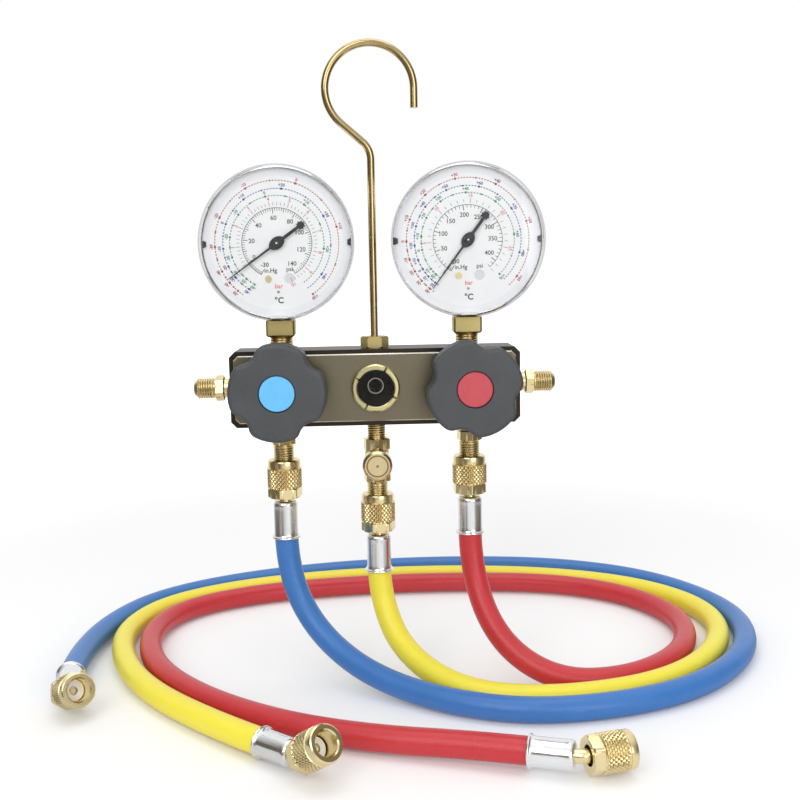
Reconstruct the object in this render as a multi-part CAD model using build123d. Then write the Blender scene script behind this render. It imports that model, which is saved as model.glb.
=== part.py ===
"""Two-valve refrigerant manifold with dial gauges, sight glass, hook and three charging hoses.

Frame: origin at the inside top of the hanging hook, where the set hangs, +X to the high
side, +Y to the back, +Z up. The front, with the knobs and dials, faces -Y.
"""
from build123d import *
import math
import os

os.makedirs("parts", exist_ok=True)

# ---------------------------------------------------------------- driving sizes, mm
SEAT = 0.3              # gap left between a moving piece and what it seats on
FIT = 0.1               # radial clearance of threads, pins and running fits
SNUG = 0.05             # radial clearance of pieces fixed together

BODY_W, BODY_D, BODY_H = 152.0, 27.0, 40.0
BODY_CORNER = 3.0       # chamfer of the block's long and end edges seen from the front
PAD_RISE = 1.0          # raised front pad
PAD_INSET = 2.2
PAD_BEVEL = 0.6
STATION = 50.0          # valve and hose port axes, each side of the middle
PASSAGE_R = 2.4
PASSAGE_Y = 7.0         # by-pass drilling behind the valve seats
CHAMBER_IN_Y = -1.7     # drillings from the ports into the valve chambers
PORT_BORE_R = 5.0       # tapped holes for nipples and gauge stems
PORT_BORE_DEPTH = 10.0

HOOK_ROD_R = 2.0
HOOK_R = 23.0           # centreline radius of the hook
HOOK_RISE = 134.0       # hook centre above the block
HOOK_NECK = 30.5        # hook centre down to the corner of the bent neck
HOOK_BEND_R = 12.0
HOOK_TIP_DROP = 10.0    # straight tip below the hook centre
HOOK_NUT_AF, HOOK_NUT_H = 13.0, 6.0
ROD_DEPTH = 10.0

CHAMBER_R = 6.0         # valve chamber
BONNET_R = 8.0
BONNET_AF, BONNET_HEX_H = 17.0, 4.5
SEAT_Y = 1.0            # seat face, behind the port plane
LIFT = 3.0              # valve opening
DISC_R, DISC_T = 4.6, 2.4
NOSE_R, NOSE_L = 1.5, 2.0
SPINDLE_R = 3.0
PACKING_R, PACKING_T = 4.5, 2.4

KNOB_R = 25.0
KNOB_T = 14.0
KNOB_GAP = 2.3          # bonnet hex to the back of the knob
KNOB_WALL = 2.4
KNOB_FACE_T = 4.0
KNOB_HUB_R = 7.5
KNOB_DIPS = 4
DIP_R, DIP_FLOOR_R = 8.5, 21.4
DIP_BLEND = 6.0
KNOB_EDGE = 2.2
CAP_R, CAP_T, CAP_SUNK = 9.0, 1.6, 0.4
CAP_GAP = 0.5
LOW_DIP_ANGLE, HIGH_DIP_ANGLE = 39.0, 75.0

SIGHT_RING_R, SIGHT_LIP_R = 12.5, 9.6
SIGHT_RISE = 4.5
SIGHT_LIP_T = 1.0
SIGHT_NECK_R = 11.3
SIGHT_DEPTH = 3.3       # ledge below the pad face
GLASS_R = 10.3
SEAL_T = 1.5
CONE_DEPTH = 5.2
CONE_FLOOR_R, SIGHT_HOLE_R = 4.1, 3.3
NOTCH_W, NOTCH_T = 1.6, 1.5
NOTCH_ANGLES = (62, 152, 242, 332)

FLARE_R = 5.55          # 7/16 inch flare thread
FLARE_BORE_R = 2.4
FLARE_CONE = 1.9
NIPPLE_AF = 12.0
END_NECK, END_HEX, END_THREAD = 4.0, 5.0, 11.0
PORT_NECK, PORT_HEX = 5.5, 5.6
TEE_NECK, TEE_HEX_TOP, TEE_ROUND, TEE_HEX_LOW = 8.6, 6.5, 10.9, 6.4
TEE_AF, TEE_ROUND_R = 13.0, 6.6
SHOWN_THREAD, TEE_SHOWN_THREAD = 8.1, 6.5
ENGAGED = 7.1           # flare thread inside a hose nut
BRANCH_L = 17.7         # front branch of the tee, axis to tip
CAP_NUT_R, CAP_NUT_BACK, CAP_NUT_FACE = 7.75, 10.5, 21.0
CAP_SEAL_T = 1.3

NUT_L, NUT_RING, NUT_KNURL = 20.7, 4.1, 11.4
NUT_R, NUT_RING_R, NUT_AF = 9.3, 8.7, 16.4
NUT_BORE_R, NUT_BORE_DEPTH, NUT_BACK_R = 5.65, 13.5, 4.7
NUT_THREAD, NUT_RELIEF_R = 8.6, 5.9     # threaded length, and the wider bore behind it
COLLAR_R = 5.3
GASKET_R, GASKET_HOLE_R, GASKET_T = 4.9, 2.2, 3.0
STEM_R, STEM_BORE_R = 3.25, 2.0
STEM_GAP = 1.9          # straight tail: nut to ferrule
ELBOW_ANGLE = 32.0
ELBOW_BEND_R = 6.0
ELBOW_NUT_SIDE, ELBOW_FERRULE_SIDE = 2.2, 3.2
CUP_WALL = 0.4
PIN_R = 1.4
WEB_T, WEB_SLOT = 1.2, 0.9
BARB_R, BARB_L = 2.5, 15.0

HOSE_R = 6.35
FERRULE_L, FERRULE_R, FERRULE_END_T = 20.4, 6.9, 1.3
FLANGE_R, FLANGE_T = 7.8, 0.9
FERRULE_SHOULDER = 1.8
FLOOR_DROP = 159.0      # port axis above the surface that the hoses lie on

GAUGE_STATION = 49.25
GAUGE_RISE = 75.5       # dial centre above the port axis
LENS_R, LENS_T, LENS_WALL = 39.8, 2.0, 1.1
LENS_FRONT, LENS_BACK = -17.5, -5.9
LENS_EDGE = 2.0
CASE_R, CASE_T = 38.4, 1.0
CASE_FRONT, CASE_BACK = -9.5, 16.0
CASE_EDGE = 2.5
DIAL_R, DIAL_T = 37.8, 0.8
SOCKET_SQ, SOCKET_NECK, SOCKET_SQ_H = 15.0, 7.0, 8.4
SOCKET_NECK_R = 5.5
SOCKET_IN_W, SOCKET_IN_FRONT, SOCKET_IN_BACK = 14.0, -4.0, 8.0
SOCKET_IN_TOP = 15.5    # below the dial centre
BOURDON_R, BOURDON_T, BOURDON_W, BOURDON_Y = 27.0, 3.0, 9.0, 2.0
BOURDON_TIP_ANGLE = -20.0
TIP_W = 5.0
LINK_W, LINK_T = 2.6, 0.5
LINK_PIN_R = 0.5

MODULE = 0.4
PINION_TEETH, SECTOR_TEETH_FULL = 10, 80
PINION_T, SECTOR_T = 2.0, 1.1
TOOTH_ADDENDUM = 0.32
ROOT_GAP = 0.13
SECTOR_PIVOT_ANGLE = -63.6
SECTOR_TEETH = 12
SECTOR_TEETH_AHEAD = 2  # teeth on the vacuum side of the line of centres
SECTOR_RIM = 2.2
SECTOR_HUB_R, SECTOR_ARM_W = 2.8, 2.6
TAIL_ANGLE, TAIL_R = -40.0, 8.0
TAIL_W, TAIL_SLOT_W = 4.6, 1.8
TAIL_SLOT_IN, TAIL_SLOT_OUT = 7.0, 10.4
TAIL_END = 11.8
ARBOR_R, SECTOR_ARBOR_R = 0.75, 1.0
PLATE_T, PLATE_GAP = 1.0, 3.0
PLATE_LEFT, PLATE_RIGHT, PLATE_LOW, PLATE_TOP = -10.0, 13.0, -27.0, 6.0
PILLARS = ((-7.5, -22.0), (-7.5, 3.0), (10.5, -24.5))
PILLAR_R = 1.3
DIAL_SCREW = (-4.9, -18.2)
DIAL_SCREW_R, DIAL_SCREW_HEAD_R, DIAL_SCREW_HEAD_T = 0.9, 1.7, 0.8
POINTER_T, POINTER_GAP = 0.5, 1.2
POINTER_L, POINTER_TAIL = 31.0, 17.3
POINTER_BLOB_R = 2.0
POINTER_HUB_R, POINTER_HUB_T = 3.7, 1.8
LOW_REST_ANGLE, HIGH_REST_ANGLE = 215.5, 233.3

# ---------------------------------------------------------------- derived places
AXIS_Z = -(BODY_H / 2 + HOOK_RISE + HOOK_R - HOOK_ROD_R)     # port and knob axes
TOP_Z = AXIS_Z + BODY_H / 2
BOTTOM_Z = AXIS_Z - BODY_H / 2
PAD_Y = -BODY_D / 2
BLOCK_Y = PAD_Y + PAD_RISE
BACK_Y = BODY_D / 2
BONNET_IN_Y = SEAT_Y - SEAT - DISC_T - LIFT - SEAT
HEX_FRONT_Y = PAD_Y - BONNET_HEX_H
KNOB_BACK_Y = HEX_FRONT_Y - KNOB_GAP
KNOB_FRONT_Y = KNOB_BACK_Y - KNOB_T
SPINDLE_IN_Y = SEAT_Y - SEAT - DISC_T - SEAT
SPINDLE_OUT_Y = KNOB_FRONT_Y + KNOB_FACE_T
GAUGE_Z = AXIS_Z + GAUGE_RISE
DIAL_Y = CASE_FRONT - SNUG                                   # back face of the dial
FRONT_PLATE_Y = SOCKET_IN_FRONT - 2 * PLATE_T - PLATE_GAP    # front of the front plate
MESH_Y = SOCKET_IN_FRONT - PLATE_T - PLATE_GAP / 2           # middle of the gears
PINION_R = MODULE * PINION_TEETH / 2
SECTOR_R = MODULE * SECTOR_TEETH_FULL / 2
CENTRES = PINION_R + SECTOR_R
PIVOT = (CENTRES * math.cos(math.radians(SECTOR_PIVOT_ANGLE)),
         CENTRES * math.sin(math.radians(SECTOR_PIVOT_ANGLE)))
FLOOR_Z = AXIS_Z - FLOOR_DROP
LIE_Z = FLOOR_Z + HOSE_R
HOSE_GRIP = FERRULE_L - FERRULE_END_T - SNUG                 # hose inside its ferrule
PORT_NUT_Z = BOTTOM_Z - PORT_NECK - PORT_HEX - SHOWN_THREAD  # front of the low and high nuts
TEE_AXIS_Z = BOTTOM_Z - TEE_NECK - TEE_HEX_TOP - TEE_ROUND / 2
TEE_FLARE_Z = BOTTOM_Z - TEE_NECK - TEE_HEX_TOP - TEE_ROUND - TEE_HEX_LOW
TEE_NUT_Z = TEE_FLARE_Z - TEE_SHOWN_THREAD
STRAIGHT_STACK = NUT_L + STEM_GAP                            # nut front to ferrule
SIDES = {"low": -1, "high": 1}

# Hose routes: x, y and height above the lying hose. The first two points are the port's.
ROUTES = {
    "blue": [(-32, -12, 17), (2, -40, 1), (54, -74, 0), (110, -74, 0), (165, -51, 0), (207, -1, 0),
             (219.5, 62, 0), (190, 128, 0), (135, 166, 0), (62, 180, 0), (-16, 177, 0), (-88, 157, 0),
             (-142, 122, 0), (-165, 75, 0.4), (-170.4, 15.7, 1.4), (-163.2, -33.8, 2.1)],
    "yellow": [(12, -19, 9.7), (42, -52, 0), (91, -62.5, 0), (152, -43.5, 0), (194, 7, 0), (205, 64, 0),
               (175, 116, 0), (116, 146, 0), (46, 157, 0), (-25, 154, 0), (-90, 137, 0), (-137, 106, 0),
               (-154, 60, 0), (-145, 11, 0), (-121, -36, 0), (-79.2, -82.5, 1), (-41.5, -115.4, 2)],
    "red": [(62, -23, 16), (91, -41, 0), (132, -38, 0), (169.5, -3, 0), (184, 48, 0), (165, 98, 0),
            (121, 129, 0), (54, 139, 0), (-18, 137, 0), (-81, 124, 0), (-124, 97, 0), (-138, 56, 0),
            (-127, 3, 0), (-96, -43, 0), (-52, -79, 0), (-6, -100.5, 0.6), (39.5, -113.7, 2.2),
            (80.8, -128.8, 3.2)],
}
FREE_ENDS = {                # tail turned about the ferrule, degrees from straight up
    "blue": 51.0,
    "yellow": -11.0,
    "red": 90.0,
}
HOSE_X = {"blue": -STATION, "yellow": 0.0, "red": STATION}
HOSE_NUT_Z = {"blue": PORT_NUT_Z, "yellow": TEE_NUT_Z, "red": PORT_NUT_Z}


# ---------------------------------------------------------------- helpers
def save(shape, node):
    """Write one node's solid, or its group of separate solids."""
    export_step(shape, f"parts/{node}.step")


def rod(radius, start, end):
    """Round bar between two points."""
    a, b = Vector(*start), Vector(*end)
    plane = Plane(origin=a, z_dir=(b - a).normalized())
    return plane * Cylinder(radius, (b - a).length, align=(Align.CENTER, Align.CENTER, Align.MIN))


def hexagon(flats, start, end, turn=0.0):
    """Hexagonal bar between two points, with both ends' corners turned off."""
    a, b = Vector(*start), Vector(*end)
    length = (b - a).length
    plane = Plane(origin=a, z_dir=(b - a).normalized())
    prism = extrude(plane * Rot(0, 0, turn) * RegularPolygon(flats / math.sqrt(3), 6), length)
    turned = plane * chamfer(
        Cylinder(flats / math.sqrt(3), length, align=(Align.CENTER, Align.CENTER, Align.MIN)).edges()
        .filter_by(GeomType.CIRCLE), flats * 0.06)
    return prism & turned


def turned(profile, plane=None):
    """Solid of revolution from (radius, height) points, standing on a plane's z axis."""
    face = make_face(Polyline(*[(r, 0, h) for r, h in profile], close=True))
    solid = revolve(face, Axis.Z)
    return solid if plane is None else plane * solid


def front_plate(outline, y_front, thickness, centre):
    """Flat plate drawn in the front view round a centre (x, z), its front at y_front."""
    plane = Plane(origin=(centre[0], y_front, centre[1]), x_dir=(1, 0, 0), z_dir=(0, -1, 0))
    return extrude(plane * outline, -thickness)


def front_rod(radius, x, z, y_front, y_back):
    return rod(radius, (x, y_front, z), (x, y_back, z))


# ---------------------------------------------------------------- manifold block
def manifold_body():
    block = Pos(0, (BLOCK_Y + BACK_Y) / 2, AXIS_Z) * Box(BODY_W, BACK_Y - BLOCK_Y, BODY_H)
    block = chamfer(block.edges().filter_by(Axis.Y), BODY_CORNER)
    pad = Pos(0, PAD_Y + PAD_RISE / 2, AXIS_Z) * Box(
        BODY_W - 2 * PAD_INSET, PAD_RISE, BODY_H - 2 * PAD_INSET)
    pad = chamfer(pad.edges().filter_by(Axis.Y), BODY_CORNER - PAD_BEVEL)
    pad = chamfer(pad.faces().sort_by(Axis.Y)[0].edges(), PAD_BEVEL)
    body = block + pad
    ledge_y = PAD_Y + SIGHT_DEPTH
    cone_y = ledge_y + CONE_DEPTH
    cuts = [
        front_rod(SIGHT_NECK_R + SNUG, 0, AXIS_Z, PAD_Y - PAD_RISE, ledge_y),
        front_rod(SIGHT_HOLE_R, 0, AXIS_Z, cone_y, PASSAGE_Y),
        Plane(origin=(0, ledge_y, AXIS_Z), z_dir=(0, 1, 0)) * Cone(
            SIGHT_LIP_R, CONE_FLOOR_R, CONE_DEPTH, align=(Align.CENTER, Align.CENTER, Align.MIN)),
        rod(PASSAGE_R, (-STATION, PASSAGE_Y, AXIS_Z), (STATION, PASSAGE_Y, AXIS_Z)),
        rod(PORT_BORE_R, (0, 0, BOTTOM_Z - 1), (0, 0, BOTTOM_Z + PORT_BORE_DEPTH)),
        rod(PASSAGE_R, (0, 0, BOTTOM_Z), (0, 0, AXIS_Z)),
        rod(HOOK_ROD_R + SNUG, (0, 0, TOP_Z - ROD_DEPTH), (0, 0, TOP_Z + 1)),
    ]
    for side in SIDES.values():
        x, gauge_x, end_x = side * STATION, side * GAUGE_STATION, side * BODY_W / 2
        cuts += [
            front_rod(BONNET_R + SNUG, x, AXIS_Z, PAD_Y - PAD_RISE, BONNET_IN_Y),
            front_rod(CHAMBER_R, x, AXIS_Z, BONNET_IN_Y, SEAT_Y),
            front_rod(PASSAGE_R, x, AXIS_Z, SEAT_Y, PASSAGE_Y),
            rod(PORT_BORE_R, (x, 0, BOTTOM_Z - 1), (x, 0, BOTTOM_Z + PORT_BORE_DEPTH)),
            rod(PASSAGE_R, (x, CHAMBER_IN_Y, BOTTOM_Z), (x, CHAMBER_IN_Y, AXIS_Z - CHAMBER_R / 2)),
            rod(PORT_BORE_R, (gauge_x, 0, TOP_Z - PORT_BORE_DEPTH), (gauge_x, 0, TOP_Z + 1)),
            rod(PASSAGE_R, (gauge_x, CHAMBER_IN_Y, AXIS_Z + CHAMBER_R / 2), (gauge_x, CHAMBER_IN_Y, TOP_Z)),
            rod(PORT_BORE_R, (end_x - side * PORT_BORE_DEPTH, 0, AXIS_Z), (end_x + side, 0, AXIS_Z)),
            rod(PASSAGE_R, (x + side * CHAMBER_R / 2, CHAMBER_IN_Y, AXIS_Z), (end_x, CHAMBER_IN_Y, AXIS_Z)),
        ]
    for cut in cuts:
        body = body - cut
    return body


def nipple(plane, neck, hex_h, thread):
    """Flare nipple standing on a plane: screwed-in neck, hexagon, thread, 45 degree nose."""
    inside = PORT_BORE_DEPTH - 1
    radius = PORT_BORE_R - SNUG
    top = neck + hex_h + thread
    solid = turned([(FLARE_BORE_R, -inside), (radius, -inside), (radius, neck + hex_h / 2),
                    (FLARE_R, neck + hex_h / 2), (FLARE_R, top - FLARE_CONE),
                    (FLARE_R - FLARE_CONE, top), (FLARE_BORE_R, top)])
    nut = hexagon(NIPPLE_AF, (0, 0, neck), (0, 0, neck + hex_h), 30)
    nut = nut - rod(radius, (0, 0, neck), (0, 0, neck + hex_h))
    return plane * (solid + nut)


def end_ports():
    planes = [Plane(origin=(side * BODY_W / 2, 0, AXIS_Z), x_dir=(0, 0, 1), z_dir=(side, 0, 0))
              for side in SIDES.values()]
    return Compound([nipple(plane, END_NECK, END_HEX, END_THREAD) for plane in planes])


def hose_ports():
    planes = [Plane(origin=(side * STATION, 0, BOTTOM_Z), x_dir=(1, 0, 0), z_dir=(0, 0, -1))
              for side in SIDES.values()]
    return Compound([nipple(plane, PORT_NECK, PORT_HEX, SHOWN_THREAD + ENGAGED) for plane in planes])


def service_tee():
    """Centre fitting: down leg with two hexagons, and a flare branch to the front."""
    radius = PORT_BORE_R - SNUG
    hex_z = BOTTOM_Z - TEE_NECK
    round_z = hex_z - TEE_HEX_TOP
    low_z = round_z - TEE_ROUND
    tip_z = TEE_NUT_Z - ENGAGED
    leg = turned([(0, tip_z), (FLARE_R - FLARE_CONE, tip_z), (FLARE_R, tip_z + FLARE_CONE),
                  (FLARE_R, TEE_FLARE_Z), (TEE_ROUND_R, TEE_FLARE_Z), (TEE_ROUND_R, hex_z),
                  (radius, hex_z), (radius, BOTTOM_Z + PORT_BORE_DEPTH - 1),
                  (0, BOTTOM_Z + PORT_BORE_DEPTH - 1)])
    tee = leg + hexagon(TEE_AF, (0, 0, round_z), (0, 0, hex_z))
    tee = tee + hexagon(TEE_AF, (0, 0, TEE_FLARE_Z), (0, 0, low_z))
    branch = Plane(origin=(0, 0, TEE_AXIS_Z), x_dir=(1, 0, 0), z_dir=(0, -1, 0)) * turned(
        [(0, 0), (FLARE_R, 0), (FLARE_R, BRANCH_L - FLARE_CONE), (FLARE_R - FLARE_CONE, BRANCH_L), (0, BRANCH_L)])
    tee = tee + branch
    tee = tee - rod(FLARE_BORE_R, (0, 0, tip_z - 1), (0, 0, TOP_Z))
    return tee - rod(FLARE_BORE_R, (0, 0, TEE_AXIS_Z), (0, -BRANCH_L - 1, TEE_AXIS_Z))


def service_cap():
    """Round cap over the tee's front branch, open to the back."""
    depth = CAP_NUT_FACE - CAP_NUT_BACK
    crown = BRANCH_L + SEAT + CAP_SEAL_T + SEAT - CAP_NUT_BACK
    return Plane(origin=(0, -CAP_NUT_BACK, TEE_AXIS_Z), x_dir=(1, 0, 0), z_dir=(0, -1, 0)) * turned(
        [(FLARE_R + FIT, 0), (CAP_NUT_R - 0.8, 0), (CAP_NUT_R, 0.8), (CAP_NUT_R, depth - 1.2),
         (CAP_NUT_R - 1.2, depth), (0, depth), (0, crown), (FLARE_R + FIT, crown)])


def cap_seal():
    start = BRANCH_L + SEAT
    return rod(FLARE_R - SEAT, (0, -start, TEE_AXIS_Z), (0, -start - CAP_SEAL_T, TEE_AXIS_Z))


def hook_rod():
    """Bent rod: upright, slanting neck, and an arc that meets the neck on its tangent."""
    centre_z = TOP_Z + HOOK_RISE
    slant = math.acos(HOOK_R / HOOK_NECK)
    join = math.radians(270) - slant
    corner = (0, centre_z - HOOK_NECK)
    bend = HOOK_BEND_R * math.tan((math.pi / 2 - slant) / 2)
    along = (math.cos(join + math.pi / 2), math.sin(join + math.pi / 2))
    meet = (HOOK_R * math.cos(join), centre_z + HOOK_R * math.sin(join))
    turn_a = (corner[0], corner[1] - bend)
    turn_b = (corner[0] - bend * along[0], corner[1] - bend * along[1])
    upright = Line((0, TOP_Z - ROD_DEPTH), turn_a)
    bow = TangentArc(turn_a, turn_b, tangent=(0, 1))
    neck = Line(turn_b, meet)
    crook = ThreePointArc(meet, (-HOOK_R * math.cos(0.4), centre_z + HOOK_R * math.sin(0.4)), (0, centre_z + HOOK_R))
    over = ThreePointArc((0, centre_z + HOOK_R), (HOOK_R * math.cos(0.8), centre_z + HOOK_R * math.sin(0.8)),
                         (HOOK_R, centre_z))
    tip = Line((HOOK_R, centre_z), (HOOK_R, centre_z - HOOK_TIP_DROP))
    plane = Plane.XZ
    path = plane * Wire([upright, bow, neck, crook, over, tip])
    profile = Plane(origin=(0, 0, TOP_Z - ROD_DEPTH)) * Circle(HOOK_ROD_R)
    return sweep(profile, path=path)


def hook_nut():
    nut = hexagon(HOOK_NUT_AF, (0, 0, TOP_Z), (0, 0, TOP_Z + HOOK_NUT_H))
    return nut - rod(HOOK_ROD_R + SNUG, (0, 0, TOP_Z - 1), (0, 0, TOP_Z + HOOK_NUT_H + 1))


# ---------------------------------------------------------------- sight glass
def sight_parts():
    """Notched retaining ring, glass and seal, all round the block's centre axis."""
    front = PAD_Y - SIGHT_RISE
    ledge = PAD_Y + SIGHT_DEPTH
    plane = Plane(origin=(0, ledge, AXIS_Z), x_dir=(1, 0, 0), z_dir=(0, -1, 0))
    pad = SIGHT_DEPTH
    top = SIGHT_DEPTH + SIGHT_RISE
    bore = GLASS_R + SNUG
    ring = turned([(bore, SNUG), (SIGHT_NECK_R, SNUG), (SIGHT_NECK_R, pad), (SIGHT_RING_R, pad),
                   (SIGHT_RING_R, top - 0.8), (SIGHT_RING_R - 0.8, top), (SIGHT_LIP_R, top),
                   (SIGHT_LIP_R, top - SIGHT_LIP_T), (bore, top - SIGHT_LIP_T)])
    for angle in NOTCH_ANGLES:
        slot = Rot(0, 0, angle) * Pos((SIGHT_LIP_R + SIGHT_RING_R) / 2, 0, top) * Box(
            2 * (SIGHT_RING_R - SIGHT_LIP_R), NOTCH_W, 2 * NOTCH_T)
        ring = ring - slot
    glass = turned([(0, SEAL_T), (GLASS_R, SEAL_T), (GLASS_R, top - SIGHT_LIP_T), (0, top - SIGHT_LIP_T)])
    seal = turned([(SIGHT_LIP_R - FIT, 0), (GLASS_R, 0), (GLASS_R, SEAL_T), (SIGHT_LIP_R - FIT, SEAL_T)])
    return plane * ring, plane * glass, plane * seal


# ---------------------------------------------------------------- valves
def valve_bonnet(x):
    shank = front_rod(BONNET_R, x, AXIS_Z, PAD_Y, BONNET_IN_Y)
    head = hexagon(BONNET_AF, (x, PAD_Y, AXIS_Z), (x, HEX_FRONT_Y, AXIS_Z))
    bonnet = shank + head
    bonnet = bonnet - front_rod(SPINDLE_R + FIT, x, AXIS_Z, HEX_FRONT_Y - 1, BONNET_IN_Y + 1)
    gland_y = (PAD_Y + BONNET_IN_Y) / 2
    return bonnet - front_rod(PACKING_R + SNUG, x, AXIS_Z, gland_y, BONNET_IN_Y + 1)


def packing_rings():
    """Packing in each bonnet's gland, and the ring nut's space left empty behind it."""
    gland_y = (PAD_Y + BONNET_IN_Y) / 2
    rings = []
    for side in SIDES.values():
        x = side * STATION
        ring = front_rod(PACKING_R, x, AXIS_Z, gland_y, gland_y + PACKING_T)
        rings.append(ring - front_rod(SPINDLE_R + FIT, x, AXIS_Z, gland_y - 1, gland_y + PACKING_T + 1))
    return Compound(rings)


def spindle(x):
    stem = front_rod(SPINDLE_R, x, AXIS_Z, SPINDLE_OUT_Y + SNUG, SPINDLE_IN_Y)
    return stem + front_rod(NOSE_R, x, AXIS_Z, SPINDLE_IN_Y, SPINDLE_IN_Y + NOSE_L)


def seat_disc(x):
    front = SEAT_Y - SEAT - DISC_T
    disc = front_rod(DISC_R, x, AXIS_Z, front, SEAT_Y - SEAT)
    return disc - front_rod(NOSE_R + FIT, x, AXIS_Z, front - 1, SPINDLE_IN_Y + NOSE_L + SEAT)


def knob(x, dip_angle):
    """Moulded hand knob: round with four scooped dips, hollow and ribbed behind."""
    def outline(radius, dip_r, blend):
        shape = Circle(radius)
        for i in range(KNOB_DIPS):
            turn = dip_angle + i * 360 / KNOB_DIPS
            shape = shape - Rot(0, 0, turn) * Pos(DIP_FLOOR_R + DIP_R, 0) * Circle(dip_r)
        return fillet(shape.vertices(), blend)

    plane = Plane(origin=(x, KNOB_BACK_Y, AXIS_Z), x_dir=(1, 0, 0), z_dir=(0, -1, 0))
    solid = extrude(outline(KNOB_R, DIP_R, DIP_BLEND), KNOB_T)
    solid = fillet(solid.faces().sort_by(Axis.Z)[-1].edges(), KNOB_EDGE)
    hollow = extrude(outline(KNOB_R - KNOB_WALL, DIP_R + KNOB_WALL, DIP_BLEND - KNOB_WALL),
                     KNOB_T - KNOB_FACE_T)
    hub = Cylinder(KNOB_HUB_R, KNOB_T, align=(Align.CENTER, Align.CENTER, Align.MIN))
    ribs = [Rot(0, 0, dip_angle + i * 360 / KNOB_DIPS) * Pos(DIP_FLOOR_R / 2, 0, KNOB_T / 2 + 1)
            * Box(DIP_FLOOR_R, 1.8, KNOB_T - 2) for i in range(KNOB_DIPS)]
    for rib in ribs:
        hollow = hollow - rib
    solid = solid - (hollow - hub)
    solid = solid - Pos(0, 0, -1) * Cylinder(SPINDLE_R + SNUG, KNOB_T - KNOB_FACE_T + 1,
                                             align=(Align.CENTER, Align.CENTER, Align.MIN))
    recess = CAP_T + CAP_SUNK
    solid = solid - Pos(0, 0, KNOB_T - recess) * Cylinder(
        CAP_R + CAP_GAP, recess + 1, align=(Align.CENTER, Align.CENTER, Align.MIN))
    return plane * solid


def knob_cap(x):
    """Coloured disc in the knob's recess, its edge rounded."""
    face = KNOB_FRONT_Y + CAP_SUNK
    disc = front_rod(CAP_R, x, AXIS_Z, face, face + CAP_T)
    return fillet(disc.faces().sort_by(Axis.Y)[0].edges(), 0.4)


# ---------------------------------------------------------------- gauges
def gauge_socket(x):
    """Stem, square and inner block of a gauge in one brass piece."""
    square_z = TOP_Z + SOCKET_NECK
    top_z = square_z + SOCKET_SQ_H
    block_top = GAUGE_Z - SOCKET_IN_TOP
    inner_z = GAUGE_Z - CASE_R + 3
    depth = PORT_BORE_DEPTH - 1
    solid = rod(PORT_BORE_R - SNUG, (x, 0, TOP_Z - depth), (x, 0, TOP_Z))
    solid = solid + rod(SOCKET_NECK_R, (x, 0, TOP_Z), (x, 0, inner_z))
    square = Pos(x, 0, (square_z + top_z) / 2) * Box(SOCKET_SQ, SOCKET_SQ, SOCKET_SQ_H)
    square = chamfer(square.edges().filter_by(Axis.Z), 1.0)
    square = chamfer(square.faces().sort_by(Axis.Z)[0].edges(), 0.8)
    block_y = (SOCKET_IN_FRONT + SOCKET_IN_BACK) / 2
    block = Pos(x, block_y, (inner_z + block_top) / 2) * Box(
        SOCKET_IN_W, SOCKET_IN_BACK - SOCKET_IN_FRONT, block_top - inner_z)
    solid = solid + square + block
    return solid - rod(PASSAGE_R / 2, (x, 0, TOP_Z - depth - 1), (x, 0, GAUGE_Z - BOURDON_R))


def gauge_case(x):
    """Pressed cup, open to the front, with a hole for the stem."""
    depth = CASE_BACK - CASE_FRONT
    plane = Plane(origin=(x, CASE_BACK, GAUGE_Z), x_dir=(1, 0, 0), z_dir=(0, -1, 0))
    cup = Cylinder(CASE_R, depth, align=(Align.CENTER, Align.CENTER, Align.MIN))
    cup = fillet(cup.faces().sort_by(Axis.Z)[0].edges(), CASE_EDGE)
    room = Pos(0, 0, CASE_T) * Cylinder(CASE_R - CASE_T, depth, align=(Align.CENTER, Align.CENTER, Align.MIN))
    room = fillet(room.faces().sort_by(Axis.Z)[0].edges(), CASE_EDGE - CASE_T)
    cup = plane * (cup - room)
    return cup - rod(SOCKET_NECK_R + SNUG, (x, 0, GAUGE_Z - CASE_R - 1), (x, 0, GAUGE_Z - CASE_R + 5))


def gauge_lens(x):
    """Clear snap-on window: flat front, rounded edge, skirt over the case."""
    depth = LENS_BACK - LENS_FRONT
    plane = Plane(origin=(x, LENS_BACK, GAUGE_Z), x_dir=(1, 0, 0), z_dir=(0, -1, 0))
    cup = Cylinder(LENS_R, depth, align=(Align.CENTER, Align.CENTER, Align.MIN))
    cup = fillet(cup.faces().sort_by(Axis.Z)[-1].edges(), LENS_EDGE)
    room = Cylinder(LENS_R - LENS_WALL, depth - LENS_T, align=(Align.CENTER, Align.CENTER, Align.MIN))
    return plane * (cup - room)


def gauge_dial(x):
    dial = front_rod(DIAL_R, x, GAUGE_Z, DIAL_Y - DIAL_T, DIAL_Y)
    dial = dial - front_rod(ARBOR_R + SEAT, x, GAUGE_Z, DIAL_Y - DIAL_T - 1, DIAL_Y + 1)
    sx, sz = DIAL_SCREW
    return dial - front_rod(DIAL_SCREW_R + SNUG, x + sx, GAUGE_Z + sz, DIAL_Y - DIAL_T - 1, DIAL_Y + 1)


def dial_screws():
    """Slotted brass screws that hold the dials to the movement frames."""
    screws = []
    sx, sz = DIAL_SCREW
    face = DIAL_Y - DIAL_T
    for side in SIDES.values():
        x = side * GAUGE_STATION + sx
        head = front_rod(DIAL_SCREW_HEAD_R, x, GAUGE_Z + sz, face - DIAL_SCREW_HEAD_T, face)
        slot = Pos(x, face - DIAL_SCREW_HEAD_T, GAUGE_Z + sz) * Rot(0, 50, 0) * Box(
            3 * DIAL_SCREW_HEAD_R, DIAL_SCREW_HEAD_T, 0.5)
        screws.append(head - slot + front_rod(DIAL_SCREW_R, x, GAUGE_Z + sz, face, FRONT_PLATE_Y + PLATE_T))
    return Compound(screws)


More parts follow.
